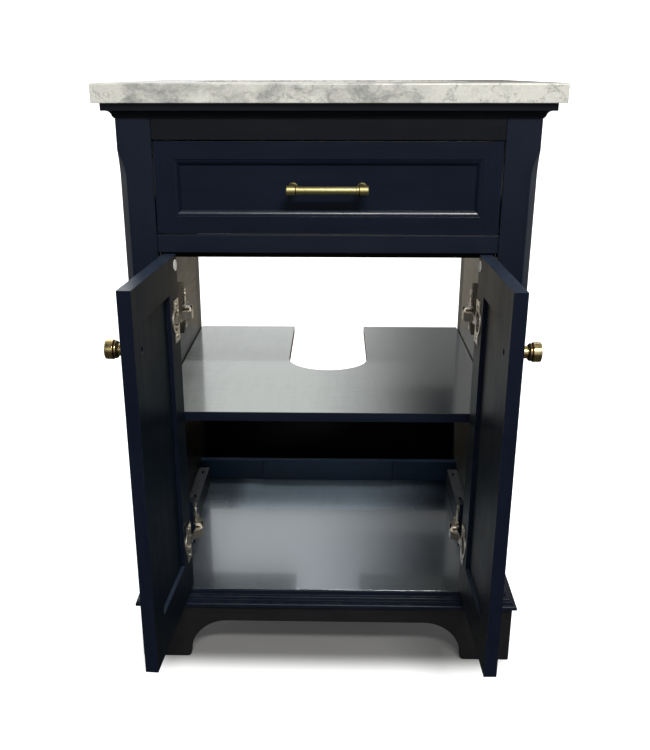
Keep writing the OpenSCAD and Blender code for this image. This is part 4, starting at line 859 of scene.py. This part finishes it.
# Screws: plated steel screws with low domed heads and a cross recess, driven home by hand, so that no two
# crosses stand alike. They hold the hinge plates, the hinge cups, the pull and the knobs.
def screw_tree():
    """A screw on each point, its head out along the point's facing and its cross at a fixed random angle."""
    tree, start = nodes_tree("domed_cross_screws", (
        ("Head Radius", "Float", 0.004), ("Head Height", "Float", 0.0016), ("Shank Radius", "Float", 0.002),
        ("Shank Length", "Float", 0.004), ("Seed", "Int", 7)))

    def scaled(name, factor):
        return calc(tree, "MULTIPLY", start[name], factor)

    def moved(geometry, up, turned_by=0.0):
        shift = link_up(tree, "ShaderNodeCombineXYZ", {2: up})
        return link_up(tree, "GeometryNodeTransform", {"Geometry": geometry, "Translation": shift.outputs[0],
                                                       "Rotation": (0, 0, turned_by)}).outputs[0]

    def joined(operation, first, second):
        """UNION takes both meshes at its second socket, DIFFERENCE takes the first one at its own."""
        node = link_up(tree, "GeometryNodeMeshBoolean", {0 if operation == "DIFFERENCE" else 1: first},
                       operation=operation, solver="EXACT")
        tree.links.new(second, node.inputs[1])
        return node

    head = link_up(tree, "GeometryNodeMeshCylinder", {
        "Vertices": 24, "Side Segments": 1, "Fill Segments": 3, "Radius": start["Head Radius"],
        "Depth": start["Head Height"]}, fill_type="TRIANGLE_FAN")
    axes = split(tree, link_up(tree, "GeometryNodeInputPosition").outputs[0])
    flat = link_up(tree, "ShaderNodeCombineXYZ", {0: axes["X"], 1: axes["Y"]})
    outward = calc(tree, "DIVIDE", vector_calc(tree, "LENGTH", flat.outputs[0]), start["Head Radius"])
    upper = calc(tree, "GREATER_THAN", axes["Z"], 0.0)
    drop = calc(tree, "MULTIPLY", calc(tree, "POWER", outward, 2.0), upper)
    shift = link_up(tree, "ShaderNodeCombineXYZ", {
        2: calc(tree, "MULTIPLY", drop, scaled("Head Height", -0.6))})
    domed = link_up(tree, "GeometryNodeSetPosition", {
        "Geometry": head.outputs["Mesh"], "Offset": shift.outputs[0]})
    seated = moved(domed.outputs[0], scaled("Head Height", 0.5))
    shank = link_up(tree, "GeometryNodeMeshCylinder", {
        "Vertices": 16, "Radius": start["Shank Radius"], "Depth": start["Shank Length"]})
    screw = joined("UNION", seated, moved(shank.outputs["Mesh"], scaled("Shank Length", -0.48)))
    bars = []
    for turned_by in (0.0, math.pi / 2):
        size = link_up(tree, "ShaderNodeCombineXYZ", {0: scaled("Head Radius", 1.15),
                                                      1: scaled("Head Radius", 0.24),
                                                      2: scaled("Head Height", 1.1)})
        bar = link_up(tree, "GeometryNodeMeshCube", {"Size": size.outputs[0]})
        bars.append(moved(bar.outputs["Mesh"], start["Head Height"], turned_by))
    cut = joined("DIFFERENCE", screw.outputs[0], bars[0])
    tree.links.new(bars[1], cut.inputs[1])
    facing = link_up(tree, "GeometryNodeInputNamedAttribute", {"Name": "facing"}, data_type="FLOAT_VECTOR")
    upright = link_up(tree, "FunctionNodeAlignRotationToVector", {"Vector": facing.outputs[0]}, axis="Z")
    chance = link_up(tree, "FunctionNodeRandomValue", {"Seed": start["Seed"]}, data_type="FLOAT")
    spun = link_up(tree, "ShaderNodeCombineXYZ", {2: calc(tree, "MULTIPLY", chance.outputs[1], math.pi)})
    local = link_up(tree, "FunctionNodeEulerToRotation", {0: spun.outputs[0]})
    aimed = link_up(tree, "FunctionNodeRotateRotation", {0: upright.outputs[0], 1: local.outputs[0]},
                    rotation_space="LOCAL")
    placed = link_up(tree, "GeometryNodeInstanceOnPoints", {
        "Points": start["Geometry"], "Instance": cut.outputs[0], "Rotation": aimed.outputs[0]})
    return end_tree(tree, start, placed.outputs[0])


screw_maker = screw_tree()
screw_head = (0.004, 0.0016)
head_and_play = 0.0018


def screws(name, seats, body, shank, head=screw_head, replaces=()):
    """Screws at these seats: pairs of where the head's underside rests and the way that the head faces."""
    piece = grown(name, [tuple(place) for place, facing in seats], screw_maker,
                  {"Head Radius": head[0], "Head Height": head[1], "Shank Length": shank,
                   "Seed": len(seats) + 3, "Finish": nickel},
                  [("facing", "FLOAT_VECTOR", [part for place, facing in seats for part in facing])])
    piece.data.shade_smooth()
    piece.data.set_sharp_from_angle(angle=math.radians(30))
    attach(piece, body)
    if replaces:
        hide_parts(*replaces)


plate_x, plate_y, plate_screw_gap = 0.215, -0.4805, 0.022
plate_seats = [((sign * plate_x, plate_y, height + up), (-sign, 0, 0))
               for sign in (-1, 1) for height in hinge_heights for up in (-plate_screw_gap, plate_screw_gap)]
screws("eased_hinge_arm_screws", plate_seats, "cabinet", 0.0025, replaces=["hinge_arm_screws"])
screw_low, screw_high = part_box("pull_screws")
pull_seats = [((sign * post_half_pitch, screw_high[1] - screw_head[1], bar_mid.z), (0, 1, 0))
              for sign in (-1, 1)]
screws("eased_pull_screws", pull_seats, "tilt_front", screw_high[1] - screw_low[1] - head_and_play,
       replaces=["pull_screws"])
knob_screw_length = 0.0206
# The hinge's pivot lies this far in from the door's edge and behind its face. A cup's screws stand in a column
# this far in from the edge, with their heads on the flange behind the door.
pivot_from_edge, pivot_from_face = 0.0037, 0.0018
cup_screws_from_edge, flange_from_face, cup_screw_gap = 0.0185, 0.0195, 0.023
for side in ("left", "right"):
    facing, to_edge = door_ways(side)
    pivot = Vector(door_hinge[f"{side}_door"]["pos_m"])
    seat = box_middle(f"{side}_knob_screw") - facing * (knob_screw_length / 2 - screw_head[1])
    screws(f"eased_{side}_knob_screw", [(seat, -facing)], f"{side}_door", knob_screw_length - head_and_play,
           replaces=[f"{side}_knob_screw"])
    corner = pivot - to_edge * pivot_from_edge - facing * pivot_from_face
    cup_seats = [(corner + to_edge * cup_screws_from_edge - facing * flange_from_face
                  + Vector((0, 0, height + up - pivot.z)), -facing)
                 for height in hinge_heights for up in (-cup_screw_gap, cup_screw_gap)]
    screws(f"{side}_hinge_cup_screws", cup_seats, f"{side}_door", 0.012, head=(0.0036, 0.0014))

# Felt pads: round bumpers of cream wool felt, cut from sheet. One is stuck at the top of each door's back, so
# that the door shuts without a knock.
felt = mottled("cream_felt", (0.50, 0.48, 0.42), (0.86, 0.84, 0.78), 1300.0, 6.0, 0.0005, 0.8,
               {"Roughness": 0.95, "Sheen Weight": 0.4}, roughness=0.7)
for side in ("left", "right"):
    eased([f"{side}_felt_pad"], f"{side}_door", felt, arris=0.0006, rings=3)
